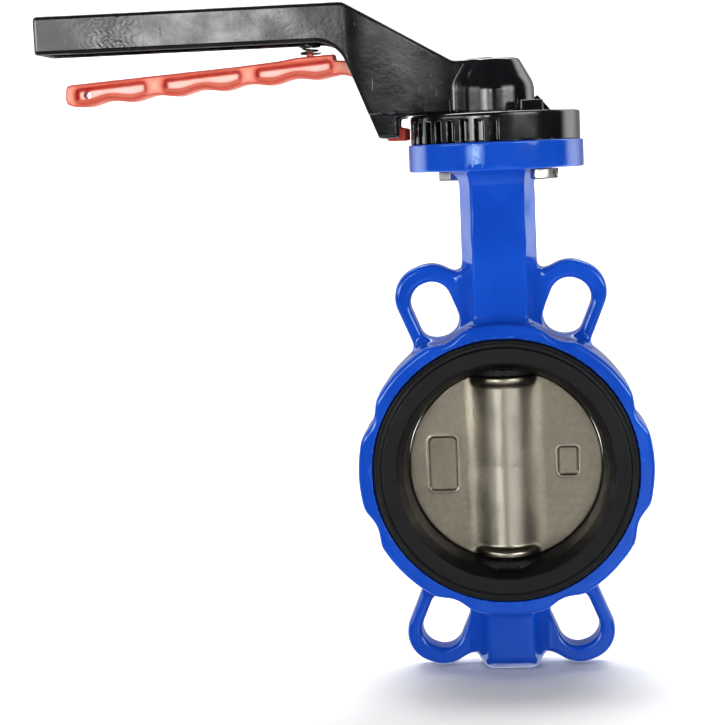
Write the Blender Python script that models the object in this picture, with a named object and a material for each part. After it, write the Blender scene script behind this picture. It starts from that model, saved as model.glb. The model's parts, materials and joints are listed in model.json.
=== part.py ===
"""DN100 wafer butterfly valve with a latching hand lever.

World frame: the pipe bore runs along Y, the stem runs up Z, and the origin is where they cross.
The disc is shut and the lever points to -X, across the pipe. It opens a quarter turn about +Z,
towards -Y. Every dimension below is in millimetres; MM turns it into metres when a mesh is made.
"""
import math

import bmesh
import bpy
from mathutils import Vector

MM = 0.001
GAP = 0.3                      # running or seating gap between neighbouring pieces

# Body ring and its bore
RING_R = 78.0                  # outer radius of the cast ring
RING_BORE_R = 58.0             # machined bore that the rubber liner fills
RING_HALF_WIDTH = 24.0         # half the width of the ring along the pipe
FACE_RECESS_R = 70.4           # shallow recess in each face for the liner's flange
FACE_RECESS_Y = 21.0
BOLT_CIRCLE_R = 90.0           # DN100 PN16 flange bolt circle, 180 mm across
BOLT_SCOOP_R = 15.0            # clearance for each flange bolt in the ring's rim
BOLT_COUNT = 8

# Locating loops on the bolt circle, either side of the stem
LOOP_ANGLES = (67.5, 112.5, 247.5, 292.5)
LOOP_HALF_WIDTH = 18.0
LOOP_END_R = 116.5
LOOP_SLOT_HALF_WIDTH = 11.0
LOOP_SLOT_INNER_R = 75.0
LOOP_SLOT_END_R = 107.0
LOOP_HALF_THICKNESS = 7.0
WEB_HALF_WIDTH = 22.5
WEB_TOP_Z = 103.5
WEB_BOTTOM_Z = -101.0

# Neck, bottom boss and top flange (ISO 5211 F07)
NECK_HALF = (19.7, 17.0)       # half widths across and along the pipe
NECK_CHAMFER = (6.4, 8.8)
BOSS_HALF = (17.5, 16.0)
BOSS_CHAMFER = (5.4, 7.6)
BOSS_BOTTOM_Z = -111.0
FLANGE_R = 46.0
FLANGE_BOTTOM_Z = 158.0
FLANGE_TOP_Z = 172.5
FLANGE_EDGE_R = 2.5
FLANGE_BOLT_R = 35.0           # F07 bolt circle, 70 mm across
FLANGE_HOLE_ANGLES = (45.0, 135.0, 225.0, 315.0)
FLANGE_HOLE_R = 4.5            # clearance for M8
PLATE_BOLT_ANGLES = (315.0, 135.0)   # the notch plate uses two of the four holes
BOLT_ACROSS_FLATS = 13.0
BOLT_HEAD_HEIGHT = 5.3
BOLT_SHANK_R = 4.0
BOLT_TIP_Z = 183.5
STEM_BORE_R = 11.3
RING_SEAT_R = 13.0             # counterbore for the stem retaining ring
RING_SEAT_Z = 168.5

# Rubber liner
LINER_BORE_R = 52.3
LINER_OUTER_R = RING_BORE_R - GAP
LINER_LIP_R = 57.0             # bore mouth at each face
LINER_RAISED_R = 66.0
LINER_FLANGE_R = FACE_RECESS_R - 0.4
LINER_HALF_FACE = 26.0         # face-to-face is 52 mm
LINER_STEM_FLAT_Z = 49.8       # flats that the disc's hub ends run against
LINER_STEM_FLAT_R = 19.0

# Stems, bushes and seals
STEM_R = 8.0
SQUARE_HALF = 5.5              # 11 mm square drive at both ends of the upper stem
BUSH_R = (STEM_R + GAP, STEM_BORE_R - GAP)
BUSH_SPANS = {"upper_stem_bush": (146.0, 168.2), "middle_stem_bush": (84.0, 104.0),
              "lower_stem_bush": (-98.0, -64.0)}
O_RING_LEVELS = {"upper_o_ring": 142.5, "middle_o_ring": 107.5, "lower_o_ring": -100.3}
O_RING_SECTION_R = 1.25
STEM_GROOVE_Z = (168.8, 170.8)

# Disc
DISC_R = 52.0                  # spherical edge
DISC_HUB_TOP = 49.2
DISC_COLLAR_R = 16.5

# Notch plate
PLATE_R = 44.5
PLATE_BOTTOM_Z = FLANGE_TOP_Z + GAP
PLATE_TOP_Z = 187.3
LUG_TOP_Z = 192.7
LUG_NEAR = 13.2                # the two stop lugs start this far from the centre lines
LUG_FAR = 25.0
LUG_REACH = (21.5, 33.0)
NOTCH_COUNT = 10               # ten notches, 10 degrees apart, over the quarter turn
NOTCH_FIRST = 180.0
NOTCH_STEP = 10.0
NOTCH_WIDTH = 3.9
NOTCH_ROOT_R = 40.5
NOTCH_TOP_Z = 183.5

# Hand lever: side outline is in X and Z, widths are along Y
ARM_END_X = -240.4
ARM_TOP_Z = 247.6
ARM_BOTTOM_Z = 227.4
ARM_HALF_WIDTH = 17.5
ARM_WALL = 4.0
HUB_R = 21.2
HUB_BOTTOM_Z = 188.0
HUB_SHOULDER_Z = 201.5
HUB_TOP_Z = 215.6
HUB_TOP_R = 13.2
WEB_HEAD_Z = 215.3             # top of the web where it runs into the hub
FOOT_Z = 176.4                 # bottom of the web, beside the notch plate
HUB_SOCKET_TOP_Z = 209.0
NECKED_HALF_WIDTH = 9.5        # half width of the lever's web where it meets the hub
CHEEK_SLOT_HALF_WIDTH = 8.6
SET_SCREW_Z = 197.0
SET_SCREW_R = 4.0

# Latch trigger, its pivot and its spring
PIVOT = (-62.0, 213.0)         # X and Z of the trigger's pivot pin
PIVOT_R = 3.0
TRIGGER_HALF_WIDTH = 7.5
TRIGGER_POCKET_DEPTH = 4.0
POCKET_DRAFT = 2.2             # how far the floor of a pocket is drawn in from its opening
POCKET_CORNER = 1.6            # size of the cut corners of a pocket
POCKET_SPANS = ((-222.6, -183.2), (-174.8, -132.2), (-125.2, -83.6))
GRIP_RIM = 1.7                 # wall left round the opening of a pocket
GRIP_TOP = ((-224.0, 211.8), (-112.0, 219.0))
HANG_HOLE = (-216.1, 206.2)
HANG_HOLE_R = 2.0
GRIP_START = (-217.0, 199.9)   # lowest point of the first finger rib
GRIP_PITCH = 25.15
GRIP_RIBS = 6
GRIP_SLOPE = 0.0715
GRIP_SCALLOP = 1.9
NOSE_TIP_X = -(PLATE_R + 0.4)  # the latch nose stands just clear of the teeth
SPRING_X = -96.2
SPRING_R = 3.75                # coil radius inside the cup
SPRING_FOOT_R = 5.3            # and at the wide turn that sits on the trigger
SPRING_WIRE_R = 0.6
SPRING_Z = (222.0, 236.9)
SPRING_TURNS = 6
SPRING_CUP_R = (4.7, 5.7)
SPRING_CUP_Z = 225.6
SPRING_STUD_R = 1.9

# Facets round a full turn
FINE = 60
MEDIUM = 40
COARSE = 24

BLUE_ENAMEL = ("blue_enamel", (0.012, 0.075, 0.52), 0.22, 0.0)
BLACK_ENAMEL = ("black_enamel", (0.02, 0.02, 0.022), 0.3, 0.0)
BLACK_RUBBER = ("black_rubber", (0.025, 0.025, 0.027), 0.75, 0.0)
CAST_STAINLESS = ("cast_stainless", (0.50, 0.47, 0.43), 0.42, 1.0)
STEEL = ("turned_stainless", (0.62, 0.62, 0.62), 0.28, 1.0)
ZINC = ("zinc_steel", (0.66, 0.66, 0.64), 0.35, 1.0)
BRONZE = ("bronze", (0.60, 0.40, 0.18), 0.4, 1.0)
RED_ENAMEL = ("red_enamel", (0.72, 0.13, 0.09), 0.38, 0.0)


def clear_scene():
    for obj in list(bpy.data.objects):
        bpy.data.objects.remove(obj)


def material(name, colour, roughness, metallic):
    """The named Principled material, made the first time it is asked for."""
    existing = bpy.data.materials.get(name)
    if existing:
        return existing
    made = bpy.data.materials.new(name)
    made.use_nodes = True
    shader = made.node_tree.nodes["Principled BSDF"]
    shader.inputs["Base Color"].default_value = (*colour, 1.0)
    shader.inputs["Roughness"].default_value = roughness
    shader.inputs["Metallic"].default_value = metallic
    return made


def make_object(name, bm):
    """Link a new object that holds the bmesh, with its faces turned outwards."""
    bmesh.ops.recalc_face_normals(bm, faces=bm.faces)
    mesh = bpy.data.meshes.new(name)
    bm.to_mesh(mesh)
    bm.free()
    obj = bpy.data.objects.new(name, mesh)
    bpy.context.scene.collection.objects.link(obj)
    return obj


def finish(obj, paint, crease=35.0):
    """Give a finished piece its material and smooth shading with sharp creases."""
    obj.data.materials.clear()
    obj.data.materials.append(material(*paint))
    obj.data.shade_smooth()
    obj.data.set_sharp_from_angle(angle=math.radians(crease))
    return obj


def place(axis, u, v, along):
    """Point in metres from plane coordinates (u, v) and a height along an axis, in mm."""
    points = {"X": (along, u, v), "Y": (u, along, v), "Z": (u, v, along)}
    return Vector(points[axis]) * MM


def lathe(name, profile, steps=COARSE, axis="Z", centre=(0.0, 0.0)):
    """Solid turned about an axis from (radius, height) points; the outline closes on itself."""
    bm = bmesh.new()
    rings = []
    for radius, height in profile:
        count = steps if radius > 0.0 else 1
        angles = [2.0 * math.pi * i / steps for i in range(count)]
        rings.append([bm.verts.new(place(axis, centre[0] + radius * math.cos(a),
                                         centre[1] + radius * math.sin(a), height)) for a in angles])
    for ring, following in zip(rings, rings[1:] + rings[:1]):
        if len(ring) == 1 and len(following) == 1:
            continue
        for i in range(steps):
            j = (i + 1) % steps
            corners = [ring[i % len(ring)], ring[j % len(ring)],
                       following[j % len(following)], following[i % len(following)]]
            bm.faces.new(list(dict.fromkeys(corners)))
    return make_object(name, bm)


def cylinder(name, radius, low, high, axis="Z", centre=(0.0, 0.0), steps=COARSE):
    return lathe(name, [(0.0, low), (radius, low), (radius, high), (0.0, high)], steps, axis, centre)


def tube(name, inner, outer, low, high):
    return lathe(name, [(inner, low), (outer, low), (outer, high), (inner, high)])


def loft(name, sections, axis="Z"):
    """Solid through sections, each an outline of (u, v) points and its height along the axis."""
    bm = bmesh.new()
    rings = [[bm.verts.new(place(axis, u, v, height)) for u, v in outline] for outline, height in sections]
    for ring, following in zip(rings, rings[1:]):
        for i in range(len(ring)):
            j = (i + 1) % len(ring)
            bm.faces.new((ring[i], ring[j], following[j], following[i]))
    bm.faces.new(rings[0])
    bm.faces.new(rings[-1])
    return make_object(name, bm)


def prism(name, outline, low, high, axis="Z"):
    return loft(name, [(outline, low), (outline, high)], axis)


def rectangle(u_low, u_high, v_low, v_high):
    return [(u_low, v_low), (u_high, v_low), (u_high, v_high), (u_low, v_high)]


def arc(centre, radius, start, end, steps):
    """Points on an arc, angles in degrees, both ends included."""
    angles = [math.radians(start + (end - start) * i / steps) for i in range(steps + 1)]
    return [(centre[0] + radius * math.cos(a), centre[1] + radius * math.sin(a)) for a in angles]


def rounded(corners, steps=5):
    """Outline through (u, v, radius) corners, each rounded by an arc tangent to both its sides."""
    points = []
    for i, (u, v, radius) in enumerate(corners):
        corner = Vector((u, v))
        if radius == 0.0:
            points.append((u, v))
            continue
        before = (Vector(corners[i - 1][:2]) - corner).normalized()
        after = (Vector(corners[(i + 1) % len(corners)][:2]) - corner).normalized()
        half = before.angle(after) / 2.0
        centre = corner + (before + after).normalized() * (radius / math.sin(half))
        first = corner + before * (radius / math.tan(half)) - centre
        last = corner + after * (radius / math.tan(half)) - centre
        for step in range(steps + 1):
            spoke = first.slerp(last, step / steps).normalized()
            points.append(tuple(centre + spoke * radius))
    return points


def group(tools):
    """One tool made of several that don't touch each other."""
    bm = bmesh.new()
    for tool in tools:
        bm.from_mesh(tool.data)
        bpy.data.objects.remove(tool)
    return make_object("tools", bm)


def combine(target, tool, operation):
    """Boolean the tool into the target, keep the result as a plain mesh and drop the tool."""
    modifier = target.modifiers.new(operation, "BOOLEAN")
    modifier.operation = operation
    modifier.solver = "EXACT"
    modifier.object = tool
    bpy.context.view_layer.update()
    evaluated = target.evaluated_get(bpy.context.evaluated_depsgraph_get())
    mesh = bpy.data.meshes.new_from_object(evaluated)
    target.modifiers.clear()
    target.data = mesh
    bpy.data.objects.remove(tool)
    return target


def join(target, *tools):
    for tool in tools:
        combine(target, tool, "UNION")
    return target


def cut(target, *tools):
    for tool in tools:
        combine(target, tool, "DIFFERENCE")
    return target


def octagon(half_u, half_v, cut_u, cut_v):
    """Rectangle with each corner cut off: cut_u along its u sides and cut_v along its v sides."""
    return [(half_u, cut_v - half_v), (half_u, half_v - cut_v), (half_u - cut_u, half_v),
            (cut_u - half_u, half_v), (-half_u, half_v - cut_v), (-half_u, cut_v - half_v),
            (cut_u - half_u, -half_v), (half_u - cut_u, -half_v)]


def scaled(outline, factor):
    return [(u * factor, v * factor) for u, v in outline]


def turned(outline, degrees):
    """Outline given as (radial, tangential) points, turned to its angle from +X towards +Z."""
    c = math.cos(math.radians(degrees))
    s = math.sin(math.radians(degrees))
    return [(r * c - t * s, r * s + t * c) for r, t in outline]


def flange_holes(angles):
    """Centres of flange holes at the given angles about the stem, in degrees."""
    turns = [math.radians(angle) for angle in angles]
    return [(FLANGE_BOLT_R * math.cos(turn), FLANGE_BOLT_R * math.sin(turn)) for turn in turns]


def body_ring():
    side = [(RING_BORE_R - 2.0, FACE_RECESS_Y), (FACE_RECESS_R, FACE_RECESS_Y),
            (FACE_RECESS_R, RING_HALF_WIDTH), (RING_R - 2.2, RING_HALF_WIDTH),
            (RING_R - 0.6, RING_HALF_WIDTH - 0.7), (RING_R, RING_HALF_WIDTH - 2.4)]
    profile = side + [(r, -y) for r, y in reversed(side)]
    ring = lathe("valve_body", profile, FINE, "Y")
    scoops = []
    for index in range(BOLT_COUNT):
        angle = math.radians(22.5 + 45.0 * index)
        centre = (BOLT_CIRCLE_R * math.cos(angle), BOLT_CIRCLE_R * math.sin(angle))
        scoops.append(cylinder("scoop", BOLT_SCOOP_R, -30.0, 30.0, "Y", centre, MEDIUM))
    return cut(ring, group(scoops))


def add_loops(body):
    """Four flat loops, the webs that tie them to the neck and boss, and their bolt slots."""
    outer = rounded([(64.0, -LOOP_HALF_WIDTH, 0.0), (LOOP_END_R, -LOOP_HALF_WIDTH, 16.5),
                     (LOOP_END_R, LOOP_HALF_WIDTH, 16.5), (64.0, LOOP_HALF_WIDTH, 0.0)], 8)
    slot = rounded([(LOOP_SLOT_INNER_R, -LOOP_SLOT_HALF_WIDTH, 10.4),
                    (LOOP_SLOT_END_R, -LOOP_SLOT_HALF_WIDTH, 10.4),
                    (LOOP_SLOT_END_R, LOOP_SLOT_HALF_WIDTH, 10.4),
                    (LOOP_SLOT_INNER_R, LOOP_SLOT_HALF_WIDTH, 10.4)], 6)
    for angle in LOOP_ANGLES:
        join(body, prism("loop", turned(outer, angle), -LOOP_HALF_THICKNESS, LOOP_HALF_THICKNESS, "Y"))
    thin = LOOP_HALF_THICKNESS - 0.2
    upper = rectangle(-WEB_HALF_WIDTH, WEB_HALF_WIDTH, 66.0, WEB_TOP_Z)
    lower = rectangle(-WEB_HALF_WIDTH, WEB_HALF_WIDTH, WEB_BOTTOM_Z, -66.0)
    join(body, prism("web", upper, -thin, thin, "Y"), prism("web", lower, -thin, thin, "Y"))
    cut(body, group([prism("slot", turned(slot, angle), -30.0, 30.0, "Y") for angle in LOOP_ANGLES]))


def valve_body():
    """Cast body: ring, loops, neck with its top flange, bottom boss, and the machined bores."""
    body = body_ring()
    add_loops(body)
    neck = octagon(*NECK_HALF, *NECK_CHAMFER)
    flare = [(neck, 62.0), (neck, 150.0), (scaled(neck, 1.04), 153.5), (scaled(neck, 1.12), 156.2),
             (scaled(neck, 1.24), 159.0)]
    boss = octagon(*BOSS_HALF, *BOSS_CHAMFER)
    foot = [(scaled(boss, 0.69), BOSS_BOTTOM_Z), (boss, BOSS_BOTTOM_Z + 5.8), (boss, -62.0)]
    edge = arc((FLANGE_R - FLANGE_EDGE_R, FLANGE_BOTTOM_Z + FLANGE_EDGE_R), FLANGE_EDGE_R, -90, 0, 3)
    rim = arc((FLANGE_R - 1.6, FLANGE_TOP_Z - 1.6), 1.6, 0, 90, 2)
    flange = [(0.0, FLANGE_BOTTOM_Z)] + edge + rim + [(0.0, FLANGE_TOP_Z)]
    join(body, loft("neck", flare), loft("boss", foot), lathe("flange", flange, FINE))
    stem_bore = [(0.0, -102.0), (STEM_BORE_R, -102.0), (STEM_BORE_R, RING_SEAT_Z),
                 (RING_SEAT_R, RING_SEAT_Z), (RING_SEAT_R, 180.0), (0.0, 180.0)]
    holes = [cylinder("bolt_hole", FLANGE_HOLE_R, 150.0, 180.0, centre=spot, steps=16)
             for spot in flange_holes(FLANGE_HOLE_ANGLES)]
    cut(body, cylinder("bore", RING_BORE_R, -40.0, 40.0, "Y", steps=FINE),
        group([lathe("stem_bore", stem_bore)] + holes))
    return finish(body, BLUE_ENAMEL)


def seat_liner():
    """Rubber sleeve: flared bore, a flange over each face with a raised sealing band, stem holes."""
    half = [(LINER_BORE_R, 8.0), (LINER_BORE_R + 1.3, 16.0), (LINER_BORE_R + 3.4, 23.0),
            (LINER_LIP_R + 0.3, LINER_HALF_FACE), (LINER_RAISED_R - 0.6, LINER_HALF_FACE),
            (LINER_RAISED_R, LINER_HALF_FACE - 1.0), (LINER_FLANGE_R, LINER_HALF_FACE - 1.5),
            (LINER_FLANGE_R, FACE_RECESS_Y + GAP), (LINER_OUTER_R, FACE_RECESS_Y + GAP)]
    liner = lathe("seat_liner", half + [(r, -y) for r, y in reversed(half)], FINE, "Y")
    for side in (-1.0, 1.0):
        low, high = sorted((side * LINER_STEM_FLAT_Z, side * 53.5))
        join(liner, cylinder("stem_flat", LINER_STEM_FLAT_R, low, high, steps=MEDIUM))
    cut(liner, cylinder("stem_holes", STEM_R + GAP, -60.0, 60.0))
    return finish(liner, BLACK_RUBBER)


def valve_disc():
    """Stainless disc with a spherical edge, a vertical hub, and sockets for the two stems."""
    face = [(0.0, 4.6), (36.0, 4.4), (50.4, 3.7)]
    edge_angle = math.degrees(math.asin(2.9 / DISC_R))
    edge = arc((0.0, 0.0), DISC_R, edge_angle, -edge_angle, 2)
    disc = lathe("valve_disc", face + edge + [(r, -y) for r, y in reversed(face)], FINE, "Y")
    half = [(DISC_COLLAR_R - 0.7, DISC_HUB_TOP), (DISC_COLLAR_R, DISC_HUB_TOP - 0.7),
            (DISC_COLLAR_R, 45.6), (DISC_COLLAR_R - 1.0, 44.6), (12.8, 43.2), (11.8, 36.0), (10.9, 12.0)]
    hub = [(0.0, DISC_HUB_TOP)] + half + [(r, -z) for r, z in reversed(half)] + [(0.0, -DISC_HUB_TOP)]
    flats = rectangle(-60.0, 60.0, -10.0, 10.0)
    combine(disc, prism("flats", flats, -DISC_HUB_TOP + 0.1, DISC_HUB_TOP - 0.1), "INTERSECT")
    socket = SQUARE_HALF + GAP
    join(disc, lathe("hub", hub, MEDIUM))
    cut(disc, prism("square_socket", rectangle(-socket, socket, -socket, socket), 28.0, 60.0),
        cylinder("round_socket", STEM_R + GAP, -60.0, -28.0))
    return finish(disc, CAST_STAINLESS)


def upper_stem():
    """Stem with a square drive in the disc and in the lever, and a groove for its retaining ring."""
    groove_r = STEM_R - 0.9
    profile = [(0.0, 49.7), (STEM_R, 49.7), (STEM_R, STEM_GROOVE_Z[0]), (groove_r, STEM_GROOVE_Z[0]),
               (groove_r, STEM_GROOVE_Z[1]), (STEM_R, STEM_GROOVE_Z[1]), (STEM_R, 187.6), (0.0, 187.6)]
    stem = lathe("upper_stem", profile)
    square = rectangle(-SQUARE_HALF, SQUARE_HALF, -SQUARE_HALF, SQUARE_HALF)
    join(stem, prism("drive", square, 28.5, 60.0), prism("drive", square, 180.0, 208.5))
    return finish(stem, STEEL)


def lower_stem():
    chamfer = 0.8
    profile = [(0.0, -101.6), (STEM_R - chamfer, -101.6), (STEM_R, -101.6 + chamfer),
               (STEM_R, -28.5 - chamfer), (STEM_R - chamfer, -28.5), (0.0, -28.5)]
    return finish(lathe("lower_stem", profile), STEEL)


def bushes_and_seals():
    for name, (low, high) in BUSH_SPANS.items():
        finish(tube(name, *BUSH_R, low, high), BRONZE)
    middle = (STEM_R + STEM_BORE_R) / 2.0
    for name, level in O_RING_LEVELS.items():
        section = arc((middle, level), O_RING_SECTION_R, 0, 300, 5)
        finish(lathe(name, section), BLACK_RUBBER)


def stem_retaining_ring():
    """Split ring in the stem's groove, held down by the notch plate above it."""
    outline = arc((0.0, 0.0), RING_SEAT_R - 0.5, -155, 155, 24)
    outline += arc((0.0, 0.0), STEM_R - 0.5, 155, -155, 24)
    ring = prism("stem_retaining_ring", outline, STEM_GROOVE_Z[0] + GAP, STEM_GROOVE_Z[1] - GAP)
    return finish(ring, STEEL)


def notch_plate():
    """Round plate bolted to the flange: notches over the lever's quarter turn, and stop lugs."""
    profile = [(9.5, PLATE_BOTTOM_Z), (PLATE_R, PLATE_BOTTOM_Z), (PLATE_R, PLATE_TOP_Z - 2.6),
               (PLATE_R - 0.7, PLATE_TOP_Z - 0.9), (PLATE_R - 2.4, PLATE_TOP_Z), (9.5, PLATE_TOP_Z)]
    plate = lathe("notch_plate", profile, FINE)
    root = PLATE_TOP_Z - 1.0
    near, far = LUG_REACH
    front_lug = rectangle(LUG_NEAR, LUG_FAR, -far, -near)
    rear_lug = rectangle(-far, -near, LUG_NEAR, LUG_FAR)
    wedge = [(18.0, root), (31.0, root), (29.0, 189.3), (23.1, 196.5), (18.0, 193.4)]
    join(plate, prism("front_lug", front_lug, root, LUG_TOP_Z), prism("rear_lug", rear_lug, root, LUG_TOP_Z),
         prism("wedge", wedge, 18.0, 27.0, "Y"))
    half = NOTCH_WIDTH / 2.0
    low = PLATE_BOTTOM_Z - 1.0
    tools = [cylinder("thread", BOLT_SHANK_R + GAP, low, BOLT_TIP_Z + 1.0, centre=spot, steps=20)
             for spot in flange_holes(PLATE_BOLT_ANGLES)]
    for index in range(NOTCH_COUNT):
        notch = turned(rectangle(NOTCH_ROOT_R, PLATE_R + 3.0, -half, half), NOTCH_FIRST + NOTCH_STEP * index)
        tools.append(prism("notch", notch, low, NOTCH_TOP_Z))
    cut(plate, group(tools))
    return finish(plate, BLACK_ENAMEL)


def flange_bolts():
    """Two M8 hexagon bolts that go up through the flange into the notch plate."""
    corner_r = BOLT_ACROSS_FLATS / math.sqrt(3.0)
    head_top = FLANGE_BOTTOM_Z - GAP
    for number, (x, y) in enumerate(flange_holes(PLATE_BOLT_ANGLES), 1):
        bolt = prism(f"flange_bolt_{number}", arc((x, y), corner_r, 13, 313, 5), head_top - BOLT_HEAD_HEIGHT,
                     head_top)
        join(bolt, cylinder("shank", BOLT_SHANK_R, head_top - 1.0, BOLT_TIP_Z, centre=(x, y), steps=20))
        finish(bolt, ZINC)


def lever_outline():
    """Side view of the lever's arm and web, in X and Z."""
    return rounded([(ARM_END_X, ARM_BOTTOM_Z, 1.0), (-80.2, ARM_BOTTOM_Z, 17.0), (-60.4, FOOT_Z, 1.0),
                    (-50.0, FOOT_Z, 1.0), (-49.6, 188.3, 1.0), (0.0, 188.3, 0.0), (0.0, WEB_HEAD_Z, 0.0),
                    (-21.1, WEB_HEAD_Z, 6.0), (-76.8, ARM_TOP_Z, 6.0), (ARM_END_X, ARM_TOP_Z, 2.5)])


def lever_plan():
    """Top view of the lever: full width along the arm, necked down to the hub."""
    half = [(ARM_END_X - 5.0, ARM_HALF_WIDTH), (-64.0, ARM_HALF_WIDTH), (-46.0, 13.4),
            (-30.0, NECKED_HALF_WIDTH + 0.6), (-22.0, NECKED_HALF_WIDTH), (2.0, NECKED_HALF_WIDTH)]
    return half + [(x, -y) for x, y in reversed(half)]


def lever_handle():
    """Cast lever: channel arm open below, forked web that holds the trigger, capped hub."""
    handle = prism("lever_handle", lever_outline(), -ARM_HALF_WIDTH - 2.0, ARM_HALF_WIDTH + 2.0, "Y")
    combine(handle, prism("plan", lever_plan(), 150.0, 260.0), "INTERSECT")
    inner = ARM_HALF_WIDTH - ARM_WALL
    channel = [(ARM_END_X + ARM_WALL, 220.0), (-84.0, 220.0), (-84.0, ARM_TOP_Z - 5.0),
               (ARM_END_X + ARM_WALL, ARM_TOP_Z - ARM_WALL)]
    slot = [(-96.0, 160.0), (-47.6, 160.0), (-47.6, 206.0), (-53.0, 222.0), (-80.0, 237.0), (-96.0, 237.0)]
    dome = arc((HUB_TOP_R - 2.0, HUB_TOP_Z - 2.0), 2.0, 90, 45, 2)
    shoulder = arc((HUB_R - 2.4, HUB_SHOULDER_Z - 1.2), 2.4, 50, 0, 3)
    hub = [(0.0, HUB_TOP_Z)] + dome + shoulder + [(HUB_R, HUB_BOTTOM_Z), (0.0, HUB_BOTTOM_Z)]
    join(handle, lathe("hub", hub, MEDIUM))
    socket = SQUARE_HALF + GAP
    cut(handle, prism("socket", rectangle(-socket, socket, -socket, socket), 180.0, HUB_SOCKET_TOP_Z),
        cylinder("screw_hole", SET_SCREW_R + GAP, 3.0, 30.0, "Y", (0.0, SET_SCREW_Z), 20),
        prism("channel", channel, -inner, inner, "Y"),
        prism("slot", slot, -CHEEK_SLOT_HALF_WIDTH, CHEEK_SLOT_HALF_WIDTH, "Y"),
        cylinder("pin_hole", PIVOT_R + GAP, -13.6, 30.0, "Y", PIVOT, 20))
    cup_centre = (SPRING_X, 0.0)
    join(handle, cylinder("cup", SPRING_CUP_R[1], SPRING_CUP_Z, 244.0, centre=cup_centre))
    cut(handle, cylinder("cup_bore", SPRING_CUP_R[0], 220.0, SPRING_Z[1] + 1.0, centre=cup_centre))
    return finish(handle, BLACK_ENAMEL)


def hub_set_screw():
    """Socket grub screw that locks the lever on the stem's square."""
    screw = cylinder("hub_set_screw", SET_SCREW_R, SQUARE_HALF + 0.5, 18.5, "Y", (0.0, SET_SCREW_Z), 20)
    socket = [(x, SET_SCREW_Z + z) for x, z in arc((0.0, 0.0), 2.3, 0, 300, 5)]
    return finish(cut(screw, prism("socket", socket, 14.0, 20.0, "Y")), STEEL)


def grip_bottom(x):
    """Height of the trigger's lower edge: rounded finger ribs with shallow hollows between."""
    along = (x - GRIP_START[0]) / GRIP_PITCH
    hollow = GRIP_SCALLOP * math.sin(math.pi * along) ** 2
    return GRIP_START[1] + GRIP_SLOPE * (x - GRIP_START[0]) + hollow


def grip_top(x):
    (start, low), (end, high) = GRIP_TOP
    return low + (high - low) * (x - start) / (end - start)


def trigger_outline():
    """Side view of the trigger in X and Z: grip bar, pivot eye, and the leg down to the nose."""
    ribs = [GRIP_START[0] + GRIP_PITCH * step / 8.0 for step in range(8 * (GRIP_RIBS - 1) + 1)]
    bottom = [(x, grip_bottom(x)) for x in ribs]
    leg = [(-80.5, 210.9), (-74.0, 209.2), (-68.5, 204.0), (-64.2, 195.0), (-60.0, 184.0), (-57.2, 176.2),
           (-56.0, 174.9), (-46.8, 174.9), (-46.8, 181.5), (-51.0, 182.6), (-53.6, 190.0), (-54.6, 204.0)]
    eye = arc(PIVOT, 7.2, -10, 120, 8)
    top = [(-77.0, 217.9), (-82.6, 218.3), (-83.0, 221.5), (-102.0, 220.6), GRIP_TOP[1], (-136.0, 217.2),
           (-165.0, 215.45), GRIP_TOP[0], (-227.0, 210.0), (-227.6, 204.0), (-225.2, 200.4)]
    return bottom + leg + eye + top


def trigger_pocket(start, end, inset):
    """Outline of a pocket in the grip, drawn in all round from its opening by the inset."""
    left, right = start + inset, end - inset
    rim = GRIP_RIM + inset
    first, last = left + POCKET_CORNER, right - POCKET_CORNER
    lower = [(x, grip_bottom(x) + rim) for x in [first + (last - first) * step / 12 for step in range(13)]]
    corner = POCKET_CORNER - 0.5
    return lower + [(right, lower[-1][1] + corner), (right, grip_top(right) - rim - corner),
                    (last, grip_top(last) - rim), (first, grip_top(first) - rim),
                    (left, grip_top(left) - rim - corner), (left, lower[0][1] + corner)]


def trigger():
    """Latch lever: pocketed grip with finger ribs, pivot eye and the nose that meets the notches."""
    body = prism("trigger", trigger_outline(), -TRIGGER_HALF_WIDTH, TRIGGER_HALF_WIDTH, "Y")
    half_nose = [(-50.0, -3.6), (-47.0, -3.6), (NOSE_TIP_X, -1.5)]
    nose = half_nose + [(x, -y) for x, y in reversed(half_nose)]
    floor_y = TRIGGER_HALF_WIDTH - TRIGGER_POCKET_DEPTH
    outside_y = TRIGGER_HALF_WIDTH + 0.4
    flare = POCKET_DRAFT * (outside_y - TRIGGER_HALF_WIDTH) / TRIGGER_POCKET_DEPTH
    for side in (-1.0, 1.0):
        low, high = sorted((side * 3.6, side * 12.0))
        relief = [(-60.2, 170.0), (-40.0, 170.0), (-40.0, 186.0), (-55.0, 186.0)]
        cut(body, prism("relief", relief, low, high, "Y"))
        for start, end in POCKET_SPANS:
            pocket = [(trigger_pocket(start, end, POCKET_DRAFT), side * floor_y),
                      (trigger_pocket(start, end, -flare), side * outside_y)]
            cut(body, loft("pocket", pocket, "Y"))
    stud = cylinder("stud", SPRING_STUD_R, 218.0, 224.6, centre=(SPRING_X, 0.0), steps=16)
    join(body, prism("nose", nose, 175.1, 181.3), stud)
    cut(body, cylinder("eye", PIVOT_R + GAP, -12.0, 12.0, "Y", PIVOT, 20),
        cylinder("hang_hole", HANG_HOLE_R, -12.0, 12.0, "Y", HANG_HOLE, 16))
    return finish(body, RED_ENAMEL)


def pivot_pin():
    """Headed pin, put in from the far side and blind in the near cheek."""
    profile = [(0.0, -13.2), (PIVOT_R - 0.5, -13.2), (PIVOT_R, -12.7), (PIVOT_R, 17.9), (4.9, 17.9),
               (4.9, 19.2), (3.9, 20.0), (0.0, 20.0)]
    return finish(lathe("trigger_pivot_pin", profile, COARSE, "Y", PIVOT), ZINC)


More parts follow.
